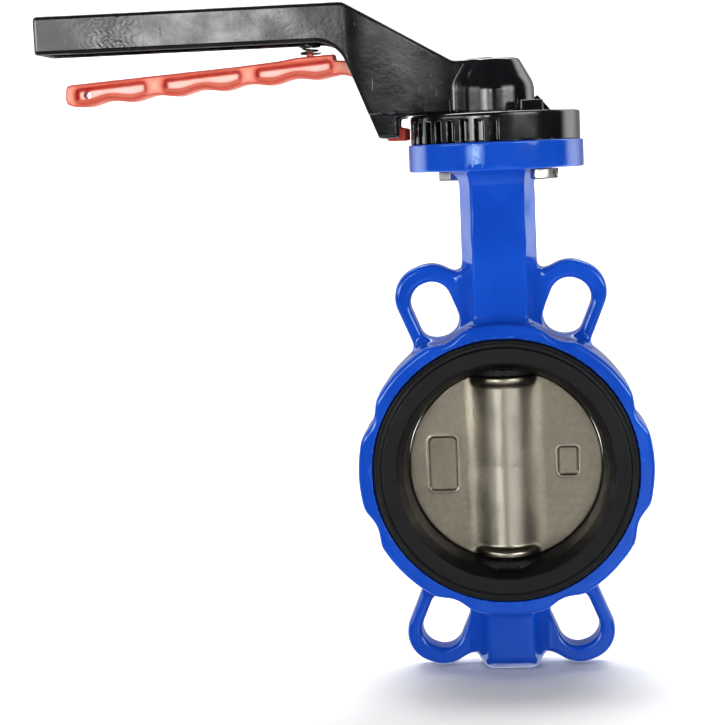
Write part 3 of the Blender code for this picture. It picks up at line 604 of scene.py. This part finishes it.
def valve_body(x, y, z):
    wander = ripple(x, y, z, 23.0)
    radius = np.hypot(x, z)
    ring = edge_max(radius - RING_R, np.abs(y) - RING_HALF, 3.0)
    turn = np.mod(np.arctan2(z, x), math.pi / 4.0) - math.pi / 8.0
    scoop = np.hypot(radius * np.cos(turn) - BOLT_CIRCLE_R, radius * np.sin(turn)) - 15.0
    ring = smax(ring, -scoop, 3.6)
    across, up = np.abs(x), np.abs(z)
    out = across * math.cos(LOOP_ANGLE) + up * math.sin(LOOP_ANGLE)
    side = up * math.cos(LOOP_ANGLE) - across * math.sin(LOOP_ANGLE)
    loop = box2(out - 86.0, side, 30.5, 18.0, 16.5)
    web = box2(across, up - 79.0, 22.5, np.where(z > 0.0, 24.5, 22.0), 2.0)
    web = smin(loop, web, 9.0)
    slot = box2(out - 91.0, side, 16.0, 11.0, 10.4)
    loops = edge_max(smax(web, -slot, 1.5), np.abs(y) - 7.0, 2.6)
    cast = smin(ring, loops, 6.0)
    neck = smax(box2(x, y, *NECK, 0.6),
                chamfered(across, np.abs(y), *NECK, 6.0, 9.4) + 0.28 * ripple(x, y, z, 21.0), 0.7)
    neck = np.maximum(neck, np.maximum(60.0 - z, z - 166.0))
    boss = smax(box2(x, y, *BOSS, 0.6), chamfered(across, np.abs(y), *BOSS, 5.4, 7.6), 0.9)
    foot = smax(-111.0 - z, (across - z - 122.5) * 0.7071, 1.5)
    foot = smax(foot, (np.abs(y) - z - 121.0) * 0.7071, 1.5)
    boss = np.maximum(smax(boss, foot, 2.0), z + 60.0)
    cast = smin(cast, smin(neck, boss, 1.0), 5.0)
    spread = np.hypot(x, y)
    flange = edge_max(spread - FLANGE_R, np.abs(z - FLANGE_TOP + FLANGE_HALF) - FLANGE_HALF, 1.0)
    cast = smin(cast, flange, 9.0)
    cast = cast - wander * np.interp(z, [150.0, 158.0, FLANGE_TOP - 3.0, FLANGE_TOP - 1.0],
                                     [0.09, 0.04, 0.04, 0.0])
    parting_line = np.exp(-(y / 0.9) ** 2) * np.clip((150.0 - z) / 8.0, 0.0, 1.0)
    cast = cast - 0.20 * parting_line
    cast = smax(cast, z - FLANGE_TOP, 0.6)
    cast = smax(cast, np.minimum(np.abs(y), RING_HALF + 0.5 * (125.0 - z)) - RING_HALF, 1.6)
    cast = np.maximum(cast, -edge_max(radius - LINER_BED_R, LINER_BED_HALF - np.abs(y), 0.4))
    cast = np.maximum(cast, 58.0 - radius)
    stem = np.minimum(np.maximum(spread - 11.3, -102.0 - z), np.maximum(spread - 13.0, 168.5 - z))
    bolt_holes = np.hypot(across - BOLT_XY, np.abs(y) - BOLT_XY) - 4.5
    return np.maximum(cast, -np.minimum(stem, np.maximum(bolt_holes, 150.0 - z)))


put(surface("valve_body_casting", valve_body, body_low, body_high, 1.0, 0.4), "valve_body", BLUE)


# ---------------------------------------------------------------- liner and turned parts

liner_rear = [   # (radius, y, fillet), from the middle of the bore outwards over the rear lip
    (52.3, 7.0, 6.0), (54.2, 17.5, 9.0), (57.4, liner_high[1], 1.1), (65.6, liner_high[1], 0.8),
    (66.1, 24.7, 0.5), (68.0, 24.5, 0.4), (68.5, 25.0, 0.4), (69.6, 24.9, 0.8), (70.0, 21.3, 0.3),
    (57.7, 21.3, 0.0)]
liner_front = [(radius, -y, fillet) for radius, y, fillet in reversed(liner_rear)]
liner_outline = Outline(rounded(liner_rear + liner_front, 5), 0.1, 4.0)


def seat_liner(x, y, z):
    spread = np.hypot(x, y)
    pads = np.maximum(spread - 19.0, np.abs(np.abs(z) - 51.6) - 1.8)
    skin = smin(liner_outline(np.hypot(x, z), y), pads, 1.2)
    return np.maximum(skin, STEM_BORE_R - spread)


put(surface("seat_liner_moulding", seat_liner, liner_low, liner_high, 0.8, 0.45), "seat_liner", RUBBER)


def turned_part(node, profile, paint, axis="Z", centre=(0.0, 0.0)):
    """Lathed piece from (radius, height, fillet) corners, standing for a CAD node."""
    put(lathe(node + "_turned", rounded(profile, 4), axis, centre, 96), node, paint)


def sleeve(node):
    """Plain stem bush with rounded ends."""
    low, high = box_mm(node)
    fillet = 0.5
    turned_part(node, [(STEM_BORE_R, low[2], fillet), (high[0], low[2], fillet),
                       (high[0], high[2], fillet), (STEM_BORE_R, high[2], fillet)], BRONZE)


def o_ring(node):
    low, high = box_mm(node)
    half = (high[2] - low[2]) / 2.0
    section = arc((high[0] - half, (low[2] + high[2]) / 2.0), half, 0.0, 348.75, 31)
    put(lathe(node + "_ring", section), node, RUBBER)


for name in ("upper_stem_bush", "middle_stem_bush", "lower_stem_bush"):
    sleeve(name)
for name in ("upper_o_ring", "middle_o_ring", "lower_o_ring"):
    o_ring(name)

low, high = box_mm("lower_stem")
turned_part("lower_stem", [(0.0, low[2], 0.0), (high[0], low[2], 0.8), (high[0], high[2], 0.8),
                           (0.0, high[2], 0.0)], TURNED)


def upper_stem(x, y, z):
    spread = np.hypot(x, y)
    groove = np.where(np.abs(z - RETAINER_Z) < 1.0, 7.1, 8.0)
    round_part = np.maximum(spread - groove, np.maximum(49.7 - z, z - 187.6))
    square = smax(box2(x, y, 5.5, 5.5, 0.4), spread - 7.4, 0.6)
    ends = edge_max(square, np.abs(z - 118.5) - 90.0, 0.6)
    return np.minimum(round_part, ends)


put(surface("upper_stem_machined", upper_stem, *box_mm("upper_stem"), 0.45, 0.3), "upper_stem", TURNED)


def retaining_ring(x, y, z):
    spread = np.hypot(x, y)
    flat = np.maximum(spread - 12.5, 7.5 - spread)
    gap = np.maximum(np.abs(y) - 4.2, x)
    ears = np.minimum(flat, np.hypot(x + 10.4, np.abs(y) - 5.0) - 1.9)
    ears = np.maximum(np.maximum(ears, -gap), 0.7 - np.hypot(x + 10.4, np.abs(y) - 6.2))
    return edge_max(ears, np.abs(z - RETAINER_Z) - 0.65, 0.2)


put(surface("stem_retaining_ring_stamped", retaining_ring, *box_mm("stem_retaining_ring"), 0.3, 0.4),
    "stem_retaining_ring", SPRING_STEEL)


# ---------------------------------------------------------------- disc

def disc_marks(points, normals):
    """Painted highlight: the hub's face is painted brighter than the blasted flats."""
    x, _, z = points.T
    painted_hub_highlight = np.clip((10.5 - np.abs(x)) / 3.0, 0.0, 1.0) * np.clip((48.0 - np.abs(z)) / 2.0, 0.0, 1.0)
    return {"painted_hub_highlight": painted_hub_highlight * np.clip((np.abs(normals[:, 1]) - 0.45) / 0.3, 0.0, 1.0)}


def valve_disc(x, y, z):
    radius = np.hypot(x, z)
    away = np.abs(y)
    plate = away - (4.7 - 0.9 * radius / DISC_R)
    ball = np.sqrt(radius ** 2 + y ** 2) - DISC_R
    spread = np.hypot(x, y)
    waist = 11.0 + 0.9 * np.abs(z) / 45.0
    hub = spread - waist
    disc = smin(plate, hub, 11.0)
    collar = edge_max(spread - 16.4, np.abs(np.abs(z) - 46.9) - 2.2, 1.7)
    disc = smin(disc, collar, 2.4)
    disc = disc - 0.015 * ripple(x, y, z, 11.0) - 0.05 * ripple(z, x, y, 27.0)
    left = box2(x + 33.4, z - 1.5, 7.4, 14.5, 2.6)
    right = box2(x - 33.4, z - 1.5, 5.3, 7.6, 2.0)
    pads = np.minimum(left, right)
    rim = 0.22 * np.exp(-((pads - 0.7) / 0.7) ** 2)
    disc = disc - rim * (y < 0.0)
    pocket = smax(pads, y + 3.35, 0.5)
    disc = smax(disc, -pocket, 0.5)
    disc = smax(disc, smin(ball, np.maximum(spread - 16.5, np.abs(z) - 49.2), 0.6), 0.9)
    disc = np.maximum(disc, np.abs(z) - 49.2)
    upper_socket = np.maximum(box2(x, y, SQUARE_HOLE, SQUARE_HOLE, 0.3), 28.0 - z)
    lower_socket = np.maximum(spread - STEM_BORE_R, z + 28.0)
    return np.maximum(disc, -np.where(z > 0.0, upper_socket, lower_socket))


put(surface("valve_disc_casting", valve_disc, *box_mm("valve_disc"), 0.7, 0.6, disc_marks), "valve_disc",
    STAINLESS)


# ---------------------------------------------------------------- notch plate and its bolts

PLATE_R = plate_high[0]


def notch_plate(x, y, z):
    spread = np.hypot(x, y)
    bearing = np.degrees(np.arctan2(y, x)) % 360.0
    bevel = 0.5 + 0.6 * np.clip((52.0 - np.abs(bearing - 225.0)) / 4.0, 0.0, 1.0)
    plate = edge_max(spread - PLATE_R, np.maximum(z - PLATE_TOP, plate_low[2] - 0.35 - z), 0.4)
    plate = smax(plate, (spread - PLATE_R + z - PLATE_TOP + bevel) * 0.7071, 0.6)
    nearest = np.clip(np.round((bearing - 180.0) / 10.0), 0.0, 9.0) * 10.0 + 180.0
    offset = np.radians(bearing - nearest)
    notch = smax(np.abs(spread * np.sin(offset)) - 1.95, 40.5 - spread * np.cos(offset), 1.0)
    notch = np.maximum(notch, z - 183.5)
    plate = smax(plate, -notch, 0.6)
    front = box2(x - 19.1, y + 27.25, 5.9, 5.75, 0.8)
    front = edge_max(front, z - LUG_TOP, 0.7)
    rear = edge_max(box2(x + 27.25, y - 19.1, 5.75, 5.9, 0.8), z - LUG_TOP, 0.7)
    rib_x, rib_z = x - 23.1, z - 196.5    # from the rib's peak
    rib = edge_max(box2(x - 24.5, y - 22.5, 6.5, 4.5, 0.6), rib_z - 0.6 * rib_x, 0.5)
    rib = smax(rib, rib_z * 0.64 + rib_x * 0.77, 0.5)
    lugs = np.maximum(np.minimum(np.minimum(front, rear), rib), 180.0 - z)
    plate = smin(plate, lugs, 1.2)
    plate = plate - 0.012 * ripple(x, y, z, 14.0)
    for spot in (1.0, -1.0):
        thread = np.hypot(x - spot * BOLT_XY, y + spot * BOLT_XY) - 4.3
        plate = np.maximum(plate, -np.maximum(thread, z - 184.5))
    return np.maximum(plate, 9.5 - spread)


put(surface("notch_plate_casting", notch_plate, plate_low, plate_high, 0.5, 0.4), "notch_plate",
    PLATE_BLACK)


def flange_bolt(node, turned):
    """Hexagon bolt, its first pair of flats facing turned degrees from +X."""
    low, high = box_mm(node)
    centre = (low + high) / 2.0
    head_low, head_high = low[2], low[2] + 5.3

    def bolt(x, y, z):
        x, y = x - centre[0], y - centre[1]
        head = hexagon(x, y, 6.5, turned)
        spread = np.hypot(x, y)
        head = smax(head, np.maximum(head_low - z, z - head_high), 0.4)
        head = smax(head, (spread - 7.2 + 1.6 * (head_low + 0.3 - z)) * 0.53, 0.4)
        dish = np.hypot(spread, (z - head_low + 7.4)) - 8.0
        head = smax(head, -dish, 0.4)
        thread = 3.72 + 0.26 * thread_wave(x, y, z, 1.25) * (z > head_high + 14.0)
        shank = smax(np.maximum(spread - thread, head_low + 2.0 - z), z - high[2], 0.8)
        return np.minimum(head, shank)

    put(surface(node + "_hex", bolt, low, high, 0.3, 0.6), node, ZINC)


flange_bolt("flange_bolt_1", 14.0)
flange_bolt("flange_bolt_2", 58.0)


# ---------------------------------------------------------------- lever

lever_outline = Outline(rounded([
    (lever_low[0], ARM_BOTTOM, 1.6), (-80.2, ARM_BOTTOM, 17.0), (-60.4, lever_low[2], 1.0),
    (-50.0, lever_low[2], 1.0), (-49.8, 186.4, 1.2), (-46.4, 186.4, 0.8), (-46.2, HUB_BASE, 0.6),
    (4.0, HUB_BASE, 0.0), (4.0, 215.3, 0.0), (-21.1, 215.3, 7.0), (-76.8, lever_high[2], 5.0),
    (lever_low[0], lever_high[2], 2.5)]))
slot_outline = Outline([(-97.0, 160.0), (-47.6, 160.0), (-47.6, 206.0), (-53.0, 222.0), (-80.0, 237.0),
                        (-97.0, 237.0)])


def lever_handle(x, y, z):
    away = np.abs(y)
    taper = np.clip((-20.0 - x) / 56.0, 0.0, 1.0)
    half = WEB_HALF + (ARM_HALF - WEB_HALF) * taper * taper * (3.0 - 2.0 * taper)
    relief = 1.3 * np.clip((189.2 - z) / 1.2, 0.0, 1.0) * np.clip((-x - 46.0) / 2.0, 0.0, 1.0)
    lever = edge_max(lever_outline(x, z), away - half + relief, 1.8)
    lever = smax(lever, x + 2.0, 0.5)
    inner = edge_max(np.abs(x + 160.2) - 76.2, away - 13.5, 2.0)
    channel = smax(inner, z - 243.3, 2.0)
    lever = smax(lever, -channel, 1.0)
    slot = smax(slot_outline(x, z), away - 8.6, 1.0)
    lever = smax(lever, -slot, 0.8)
    spread = np.hypot(x, y)
    cone = ((spread - HUB_R) * 14.1 + (z - 201.9) * 8.0) / 16.2
    hub = smax(smax(spread - HUB_R - 0.05 + 0.01 * (z - 188.0), cone, 1.6), z - HUB_TOP, 1.6)
    hub = smax(hub, HUB_BASE - z, 0.8)
    cup = np.hypot(x - SPRING_X, y)    # holds the spring's upper end
    lever = smin(lever, smax(cup - 5.7, 225.6 - z, 0.6) + 100.0 * (z > 243.0), 1.0)
    lever = smin(lever, hub, 3.0)
    lever = lever - 0.05 * ripple(x, y, z, 31.0) - 0.005 * ripple(z, x, y, 7.0)
    rough_patch = np.exp(-((x + 199.0) / 13.0) ** 2) * np.clip((away - 15.0) / 2.0, 0.0, 1.0)
    lever = lever - 0.035 * rough_patch * ripple(x, y, z, 3.1)
    lever = np.maximum(lever, -np.maximum(cup - 4.7, z - 237.9))
    lever = np.maximum(lever, -np.maximum(box2(x, y, SQUARE_HOLE, SQUARE_HOLE, 0.3), z - 209.0))
    screw = np.maximum(np.hypot(x, z - SCREW_Z) - 4.3, 3.0 - y)
    pin = np.maximum(np.hypot(x - PIVOT_X, z - PIVOT_Z) - PIVOT_HOLE_R, -13.6 - y)
    return np.maximum(lever, -np.minimum(screw, pin))


put(surface("lever_handle_casting", lever_handle, lever_low, lever_high, 0.75, 0.5), "lever_handle",
    LEVER_BLACK)

screw_low, screw_high = box_mm("hub_set_screw")


def set_screw(x, y, z):
    spread = np.hypot(x, z - SCREW_Z)
    thread = 3.75 + 0.22 * thread_wave(x, z - SCREW_Z, y, 1.0)
    screw = smax(smax(spread - thread, screw_low[1] - y, 0.8), y - screw_high[1], 0.5)
    socket = np.maximum(hexagon(x, z - SCREW_Z, 2.0, 30.0), 14.0 - y)
    return np.maximum(screw, -socket)


put(surface("hub_set_screw_socket", set_screw, screw_low, screw_high, 0.25, 0.5), "hub_set_screw",
    SPRING_STEEL)

low, high = box_mm("trigger_pivot_pin")
turned_part("trigger_pivot_pin", [
    (0.0, low[1], 0.0), (3.0, low[1], 0.6), (3.0, 17.9, 0.0), (4.9, 17.9, 0.2), (4.9, 19.2, 0.5),
    (3.9, high[1], 0.5), (0.0, high[1], 0.0)], ZINC, "Y", (PIVOT_X, PIVOT_Z))


# ---------------------------------------------------------------- trigger

def grip_bottom(x):
    """Height of the trigger's lower edge, with its finger ribs."""
    return 199.9 + 0.0715 * (x + 217.0) + 1.9 * np.sin(math.pi * (x + 217.0) / 25.15) ** 2


def grip_top(x):
    """Height of the trigger's straight upper edge."""
    return 211.8 + 7.2 * (x + 224.0) / 112.0


trigger_outline = Outline(
    [(x, grip_bottom(x)) for x in np.linspace(-217.0, -91.25, 81)]
    + [(-80.5, 210.9), (-77.2, 210.5), (-74.0, 209.2), (-71.0, 207.0), (-68.5, 204.0), (-66.2, 199.8),
       (-64.2, 195.0), (-60.0, 184.0), (-57.2, 176.2), (-56.0, 174.9), (-46.8, 174.9), (-46.8, 181.5),
       (-51.0, 182.6), (-53.6, 190.0), (-54.6, 204.0)]
    + arc((PIVOT_X, PIVOT_Z), 7.2, -10, 120, 16)
    + [(-77.0, 217.9), (-82.6, 218.3), (-83.0, 221.5), (-102.0, 220.6), (-107.0, 219.9), (-112.0, 219.1),
       (-136.0, 217.2), (-165.0, 215.45), (-224.0, 211.8), (-226.2, 211.2), (-227.2, 209.2),
       (-227.6, 204.0), (-226.6, 201.6), (-223.6, 200.2)])


def pocket_outline(start, end):
    """Opening of a pocket in the grip."""
    rim = 1.7
    first, last = start + 2.2, end - 2.2
    lower = [(x, grip_bottom(x) + rim) for x in np.linspace(first, last, 49)]
    floor = (grip_bottom(first) + rim, grip_bottom(last) + rim)
    roof = (grip_top(start) - rim, grip_top(end) - rim)
    left = [(first, roof[0]), (start + 0.7, roof[0] - 0.7), (start, roof[0] - 2.2), (start, floor[0] + 1.8),
            (start + 0.7, floor[0] + 0.5)]
    right = [(end - 0.7, floor[1] + 0.5), (end, floor[1] + 1.8), (end, roof[1] - 2.2),
             (end - 0.7, roof[1] - 0.7), (last, roof[1])]
    return Outline(lower + right + left)


pockets = [pocket_outline(*ends) for ends in ((-222.6, -183.2), (-174.8, -132.2), (-125.2, -83.6))]


def pocket_opening(x, z):
    """Distance to the nearest pocket's opening, seen from the side."""
    return np.minimum(np.minimum(pockets[0](x, z), pockets[1](x, z)), pockets[2](x, z))


def trigger(x, y, z):
    away = np.abs(y)
    body = edge_max(trigger_outline(x, z), away - 7.5, 1.1)
    draft = 0.55 * np.clip(7.5 - away, -1.0, 4.0)
    body = smax(body, -smax(pocket_opening(x, z) + draft, 3.5 - away, 1.4), 0.9)
    beside_nose = np.maximum(np.maximum(x + 40.0, -60.2 - x), np.maximum(z - 185.0, 3.6 - away))
    body = smax(body, -beside_nose, 1.2)
    nose = np.maximum(np.maximum(-50.0 - x, x + 44.9), np.maximum(175.1 - z, z - 181.3))
    nose = smax(nose, away - np.interp(x, [-47.0, -44.9], [3.6, 1.5]), 0.4)
    body = smin(body, nose, 0.8)
    stud = np.hypot(x - SPRING_X, y)
    body = smin(body, np.maximum(smax(stud - 1.9, z - 224.6, 0.6), 215.0 - z), 0.8)
    body = body - 0.06 * ripple(x, y, z, 8.0)
    pivot_hole = np.hypot(x - PIVOT_X, z - PIVOT_Z) - PIVOT_HOLE_R
    end_hole = np.hypot(x + 216.1, z - 206.2) - 2.0
    return smax(body, -np.minimum(pivot_hole, end_hole), 0.5)


def trigger_marks(points, normals):
    """Painted light on pocket floors and broad flats, and painted shade on the pocket walls and low down by
    the nose.
    """
    x, y, z = points.T
    away, opening = np.abs(y), pocket_opening(x, z)
    sunk = np.clip((7.2 - away) / 0.8, 0.0, 1.0) * (opening < 0.3)
    wall = sunk * np.clip(2.2 * (0.97 - np.abs(normals[:, 1])), 0.0, 1.0)
    # painted shade on pocket walls that face down or sideways
    painted_shade = wall * np.clip(-1.6 * normals[:, 2] + 1.2 * np.abs(normals[:, 0]), 0.0, 1.0)
    # painted shade low down by the nose
    painted_shade = np.maximum(painted_shade, np.clip((203.0 - z) / 8.0, 0.0, 0.85) * (x > -75.0))
    # painted light on the pocket floors
    floor = (sunk * np.clip((np.abs(normals[:, 1]) - 0.75) / 0.2, 0.0, 1.0)
             * np.clip((4.6 - away) / 0.6, 0.0, 1.0))
    inset = np.minimum(-trigger_outline(x, z), opening)
    # painted light on the broad outer flats
    painted_flat_light = (1.0 - sunk) * np.clip((inset - 0.9) / 3.6, 0.0, 1.0) * np.clip((away - 6.8) / 0.6, 0.0, 1.0)
    return {"painted_shade": painted_shade, "floor": floor, "painted_flat_light": painted_flat_light}


put(surface("trigger_casting", trigger, *box_mm("trigger"), 0.5, 0.5, trigger_marks), "trigger", RED)


def coil(node, turns, wire, centre_x):
    """Compression spring with closed ends and a wide foot, swept from a round wire."""
    low, high = box_mm(node)
    bottom, top = low[2] + wire, high[2] - wire
    steps, sides = int(turns * 40), 14
    along = np.linspace(0.0, 1.0, steps + 1)
    closed = 0.09
    rise = np.clip((along - closed) / (1.0 - 2.0 * closed), 0.0, 1.0)
    lift = bottom + (top - bottom) * (0.86 * rise + 0.14 * along)
    turn = 2.0 * math.pi * turns * along
    spin = np.linspace(0.0, 2.0 * math.pi, sides, endpoint=False)[None, :]
    radius = 3.75 + 1.55 * np.clip(1.0 - turns * along / 1.33, 0.0, 1.0)
    reach = radius[:, None] + wire * np.cos(spin)
    points = np.stack([centre_x + reach * np.cos(turn)[:, None], reach * np.sin(turn)[:, None],
                       lift[:, None] + wire * np.sin(spin)], axis=2).reshape(-1, 3)
    i = np.arange(sides)
    faces = [np.stack([row * sides + i, row * sides + (i + 1) % sides, (row + 1) * sides + (i + 1) % sides,
                       (row + 1) * sides + i], axis=1) for row in range(steps)]
    obj = make_object(node + "_coil", points, np.concatenate(faces))
    bm = bmesh.new()
    bm.from_mesh(obj.data)
    bm.verts.ensure_lookup_table()
    for first in (0, steps * sides):
        bm.faces.new([bm.verts[first + n] for n in range(sides)])
    bm.to_mesh(obj.data)
    bm.free()
    put(clean(obj, 50.0), node, SPRING_STEEL)
    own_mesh(obj)


coil("trigger_spring", 6.0, 0.6, SPRING_X)


# ---------------------------------------------------------------- floor, light and camera

def floor():
    """Pale sweep: a level floor that curves up behind the object."""
    level = body_low[2] - 0.1
    across = np.array([-4000.0, 4000.0])
    profile = [(-5000.0, level), (1600.0, level)]
    profile += [(1600.0 + 900.0 * math.sin(a), level + 900.0 * (1.0 - math.cos(a)))
                for a in np.linspace(0.1, math.pi / 2.0, 24)]
    profile.append((2500.0, 5000.0))
    points = np.array([(x, y, z) for y, z in profile for x in across])
    faces = np.array([(2 * i, 2 * i + 1, 2 * i + 3, 2 * i + 2) for i in range(len(profile) - 1)])
    obj = make_object("floor", points, faces)
    obj.data.shade_smooth()
    p = Paint("floor_paper", (0.93, 0.93, 0.93), Roughness=0.9, Specular_IOR_Level=0.1)
    obj.data.materials.append(p.material)
    obj.visible_glossy = False


def lamp(name, at, towards, size, power):
    light = bpy.data.lights.new(name, "AREA")
    light.shape = "RECTANGLE"
    light.size, light.size_y = size
    light.energy = power
    obj = bpy.data.objects.new(name, light)
    obj.location = at
    obj.rotation_euler = (Vector(towards) - Vector(at)).to_track_quat("-Z", "Y").to_euler()
    bpy.context.scene.collection.objects.link(obj)
    return obj


class Surroundings:
    """World brightness as a sum of soft panels, each at a bearing and a height in degrees."""

    def __init__(self, tree):
        self.tree = tree
        split = tree.nodes.new("ShaderNodeSeparateXYZ")
        tree.links.new(tree.nodes.new("ShaderNodeTexCoord").outputs["Generated"], split.inputs[0])
        self.x, self.y, self.z = split.outputs

    def join(self, operation, one, two=0.0):
        node = self.tree.nodes.new("ShaderNodeMath")
        node.operation = operation
        for value, socket in ((one, node.inputs[0]), (two, node.inputs[1])):
            if isinstance(value, float):
                socket.default_value = value
            else:
                self.tree.links.new(value, socket)
        return node.outputs[0]

    def fade(self, value, start, end, to_end=1.0):
        """Smooth step from 0 where the value is start to to_end where it is end."""
        node = self.tree.nodes.new("ShaderNodeMapRange")
        node.interpolation_type = "SMOOTHSTEP"
        self.tree.links.new(value, node.inputs["Value"])
        for key, number in (("From Min", start), ("From Max", end), ("To Min", 0.0), ("To Max", to_end)):
            node.inputs[key].default_value = number
        return node.outputs[0]

    def panel(self, bearing, sides, low, high, glow):
        """Soft panel: sides says where it is full and where it ends, low and high where each edge fades."""
        turn = math.radians(bearing)
        along = self.join("SUBTRACT", self.join("MULTIPLY", self.x, math.sin(turn)),
                          self.join("MULTIPLY", self.y, math.cos(turn)))
        across = self.join("ADD", self.join("MULTIPLY", self.x, math.cos(turn)),
                           self.join("MULTIPLY", self.y, math.sin(turn)))
        full, end, low_start, low_end, high_start, high_end = (
            math.sin(math.radians(angle)) for angle in (*sides, *low, *high))
        shape = self.join("MULTIPLY", self.fade(self.join("ABSOLUTE", across), end, full),
                          self.join("GREATER_THAN", along, 0.0))
        band = self.join("MULTIPLY", self.fade(self.z, low_start, low_end),
                         self.fade(self.z, high_end, high_start))
        return self.join("MULTIPLY", self.join("MULTIPLY", shape, band), glow)


def studio():
    world = bpy.data.worlds.new("studio")
    bpy.context.scene.world = world
    world.use_nodes = True
    around = Surroundings(world.node_tree)
    behind = around.join("SUBTRACT", around.fade(around.y, 0.15, 0.38, 3.2),
                         around.fade(around.y, 0.45, 0.90, 2.8))
    glow = around.join("MAXIMUM", behind, around.fade(around.z, -0.10, -0.42, 0.15))
    glow = around.join("MAXIMUM", glow, 0.02)
    for panel in (   # bearing, half widths, low edge, high edge, glow
            (-27.5, (5.0, 15.0), (-4.0, 1.0), (7.0, 11.0), 8.0),        # window
            (-26.0, (1.0, 7.0), (-1.0, 0.6), (5.0, 9.0), 9.0),          # its bright pane
            (-58.0, (10.0, 22.0), (1.7, 2.5), (9.0, 24.0), 4.0),        # left of the bench
            (41.0, (10.0, 23.0), (1.7, 2.5), (9.0, 24.0), 8.0),         # right of the bench
            (-10.3, (0.3, 6.4), (2.7, 3.7), (4.2, 8.0), 19.0),          # behind the camera
            (19.0, (6.0, 16.0), (2.8, 4.4), (7.0, 10.0), 3.8),          # beside it
            (15.0, (1.0, 25.0), (-40.0, -28.0), (-12.5, -6.0), 1.05)):  # pale table
        glow = around.join("ADD", glow, around.panel(*panel))
    # Plain white where the camera looks past the floor
    seen = world.node_tree.nodes.new("ShaderNodeLightPath").outputs["Is Camera Ray"]
    glow = around.join("ADD", around.join("MULTIPLY", glow, around.join("SUBTRACT", 1.0, seen)), seen)
    background = world.node_tree.nodes["Background"]
    world.node_tree.links.new(glow, background.inputs["Strength"])
    background.inputs["Color"].default_value = (1.0, 1.0, 1.0, 1.0)
    lamp("key", (-0.5, -1.5, 1.9), (0.0, 0.0, 0.05), (1.3, 0.8), 9.0).visible_glossy = False
    lamp("top", (0.0, 0.8, 2.0), (0.0, 0.2, 0.0), (1.6, 0.8), 30.0)
    lamp("backdrop", (0.0, 0.9, 2.6), (0.0, 2.4, 0.7), (3.0, 0.8), 70.0)


def camera():
    """Long lens at the height of the flange, a little to the right of the pipe's axis."""
    yaw, pitch, roll = math.radians(5.221), math.radians(6.965), math.radians(2.413)
    forward = Vector((-math.sin(yaw) * math.cos(pitch), math.cos(yaw) * math.cos(pitch), -math.sin(pitch)))
    level = Vector((math.cos(yaw), math.sin(yaw), 0.0))
    raised = level.cross(forward)
    right = level * math.cos(roll) - raised * math.sin(roll)
    up = raised * math.cos(roll) + level * math.sin(roll)
    data = bpy.data.cameras.new("camera")
    data.sensor_width = 36.0
    data.lens = 83.77
    obj = bpy.data.objects.new("camera", data)
    place = Vector((0.00695, -0.900, 0.16773))
    obj.matrix_world = Matrix([*zip(right, up, -forward, place), (0.0, 0.0, 0.0, 1.0)])
    bpy.context.scene.collection.objects.link(obj)
    bpy.context.scene.camera = obj


floor()
studio()
camera()
bpy.context.scene.view_settings.view_transform = "Standard"
bpy.context.view_layer.update()
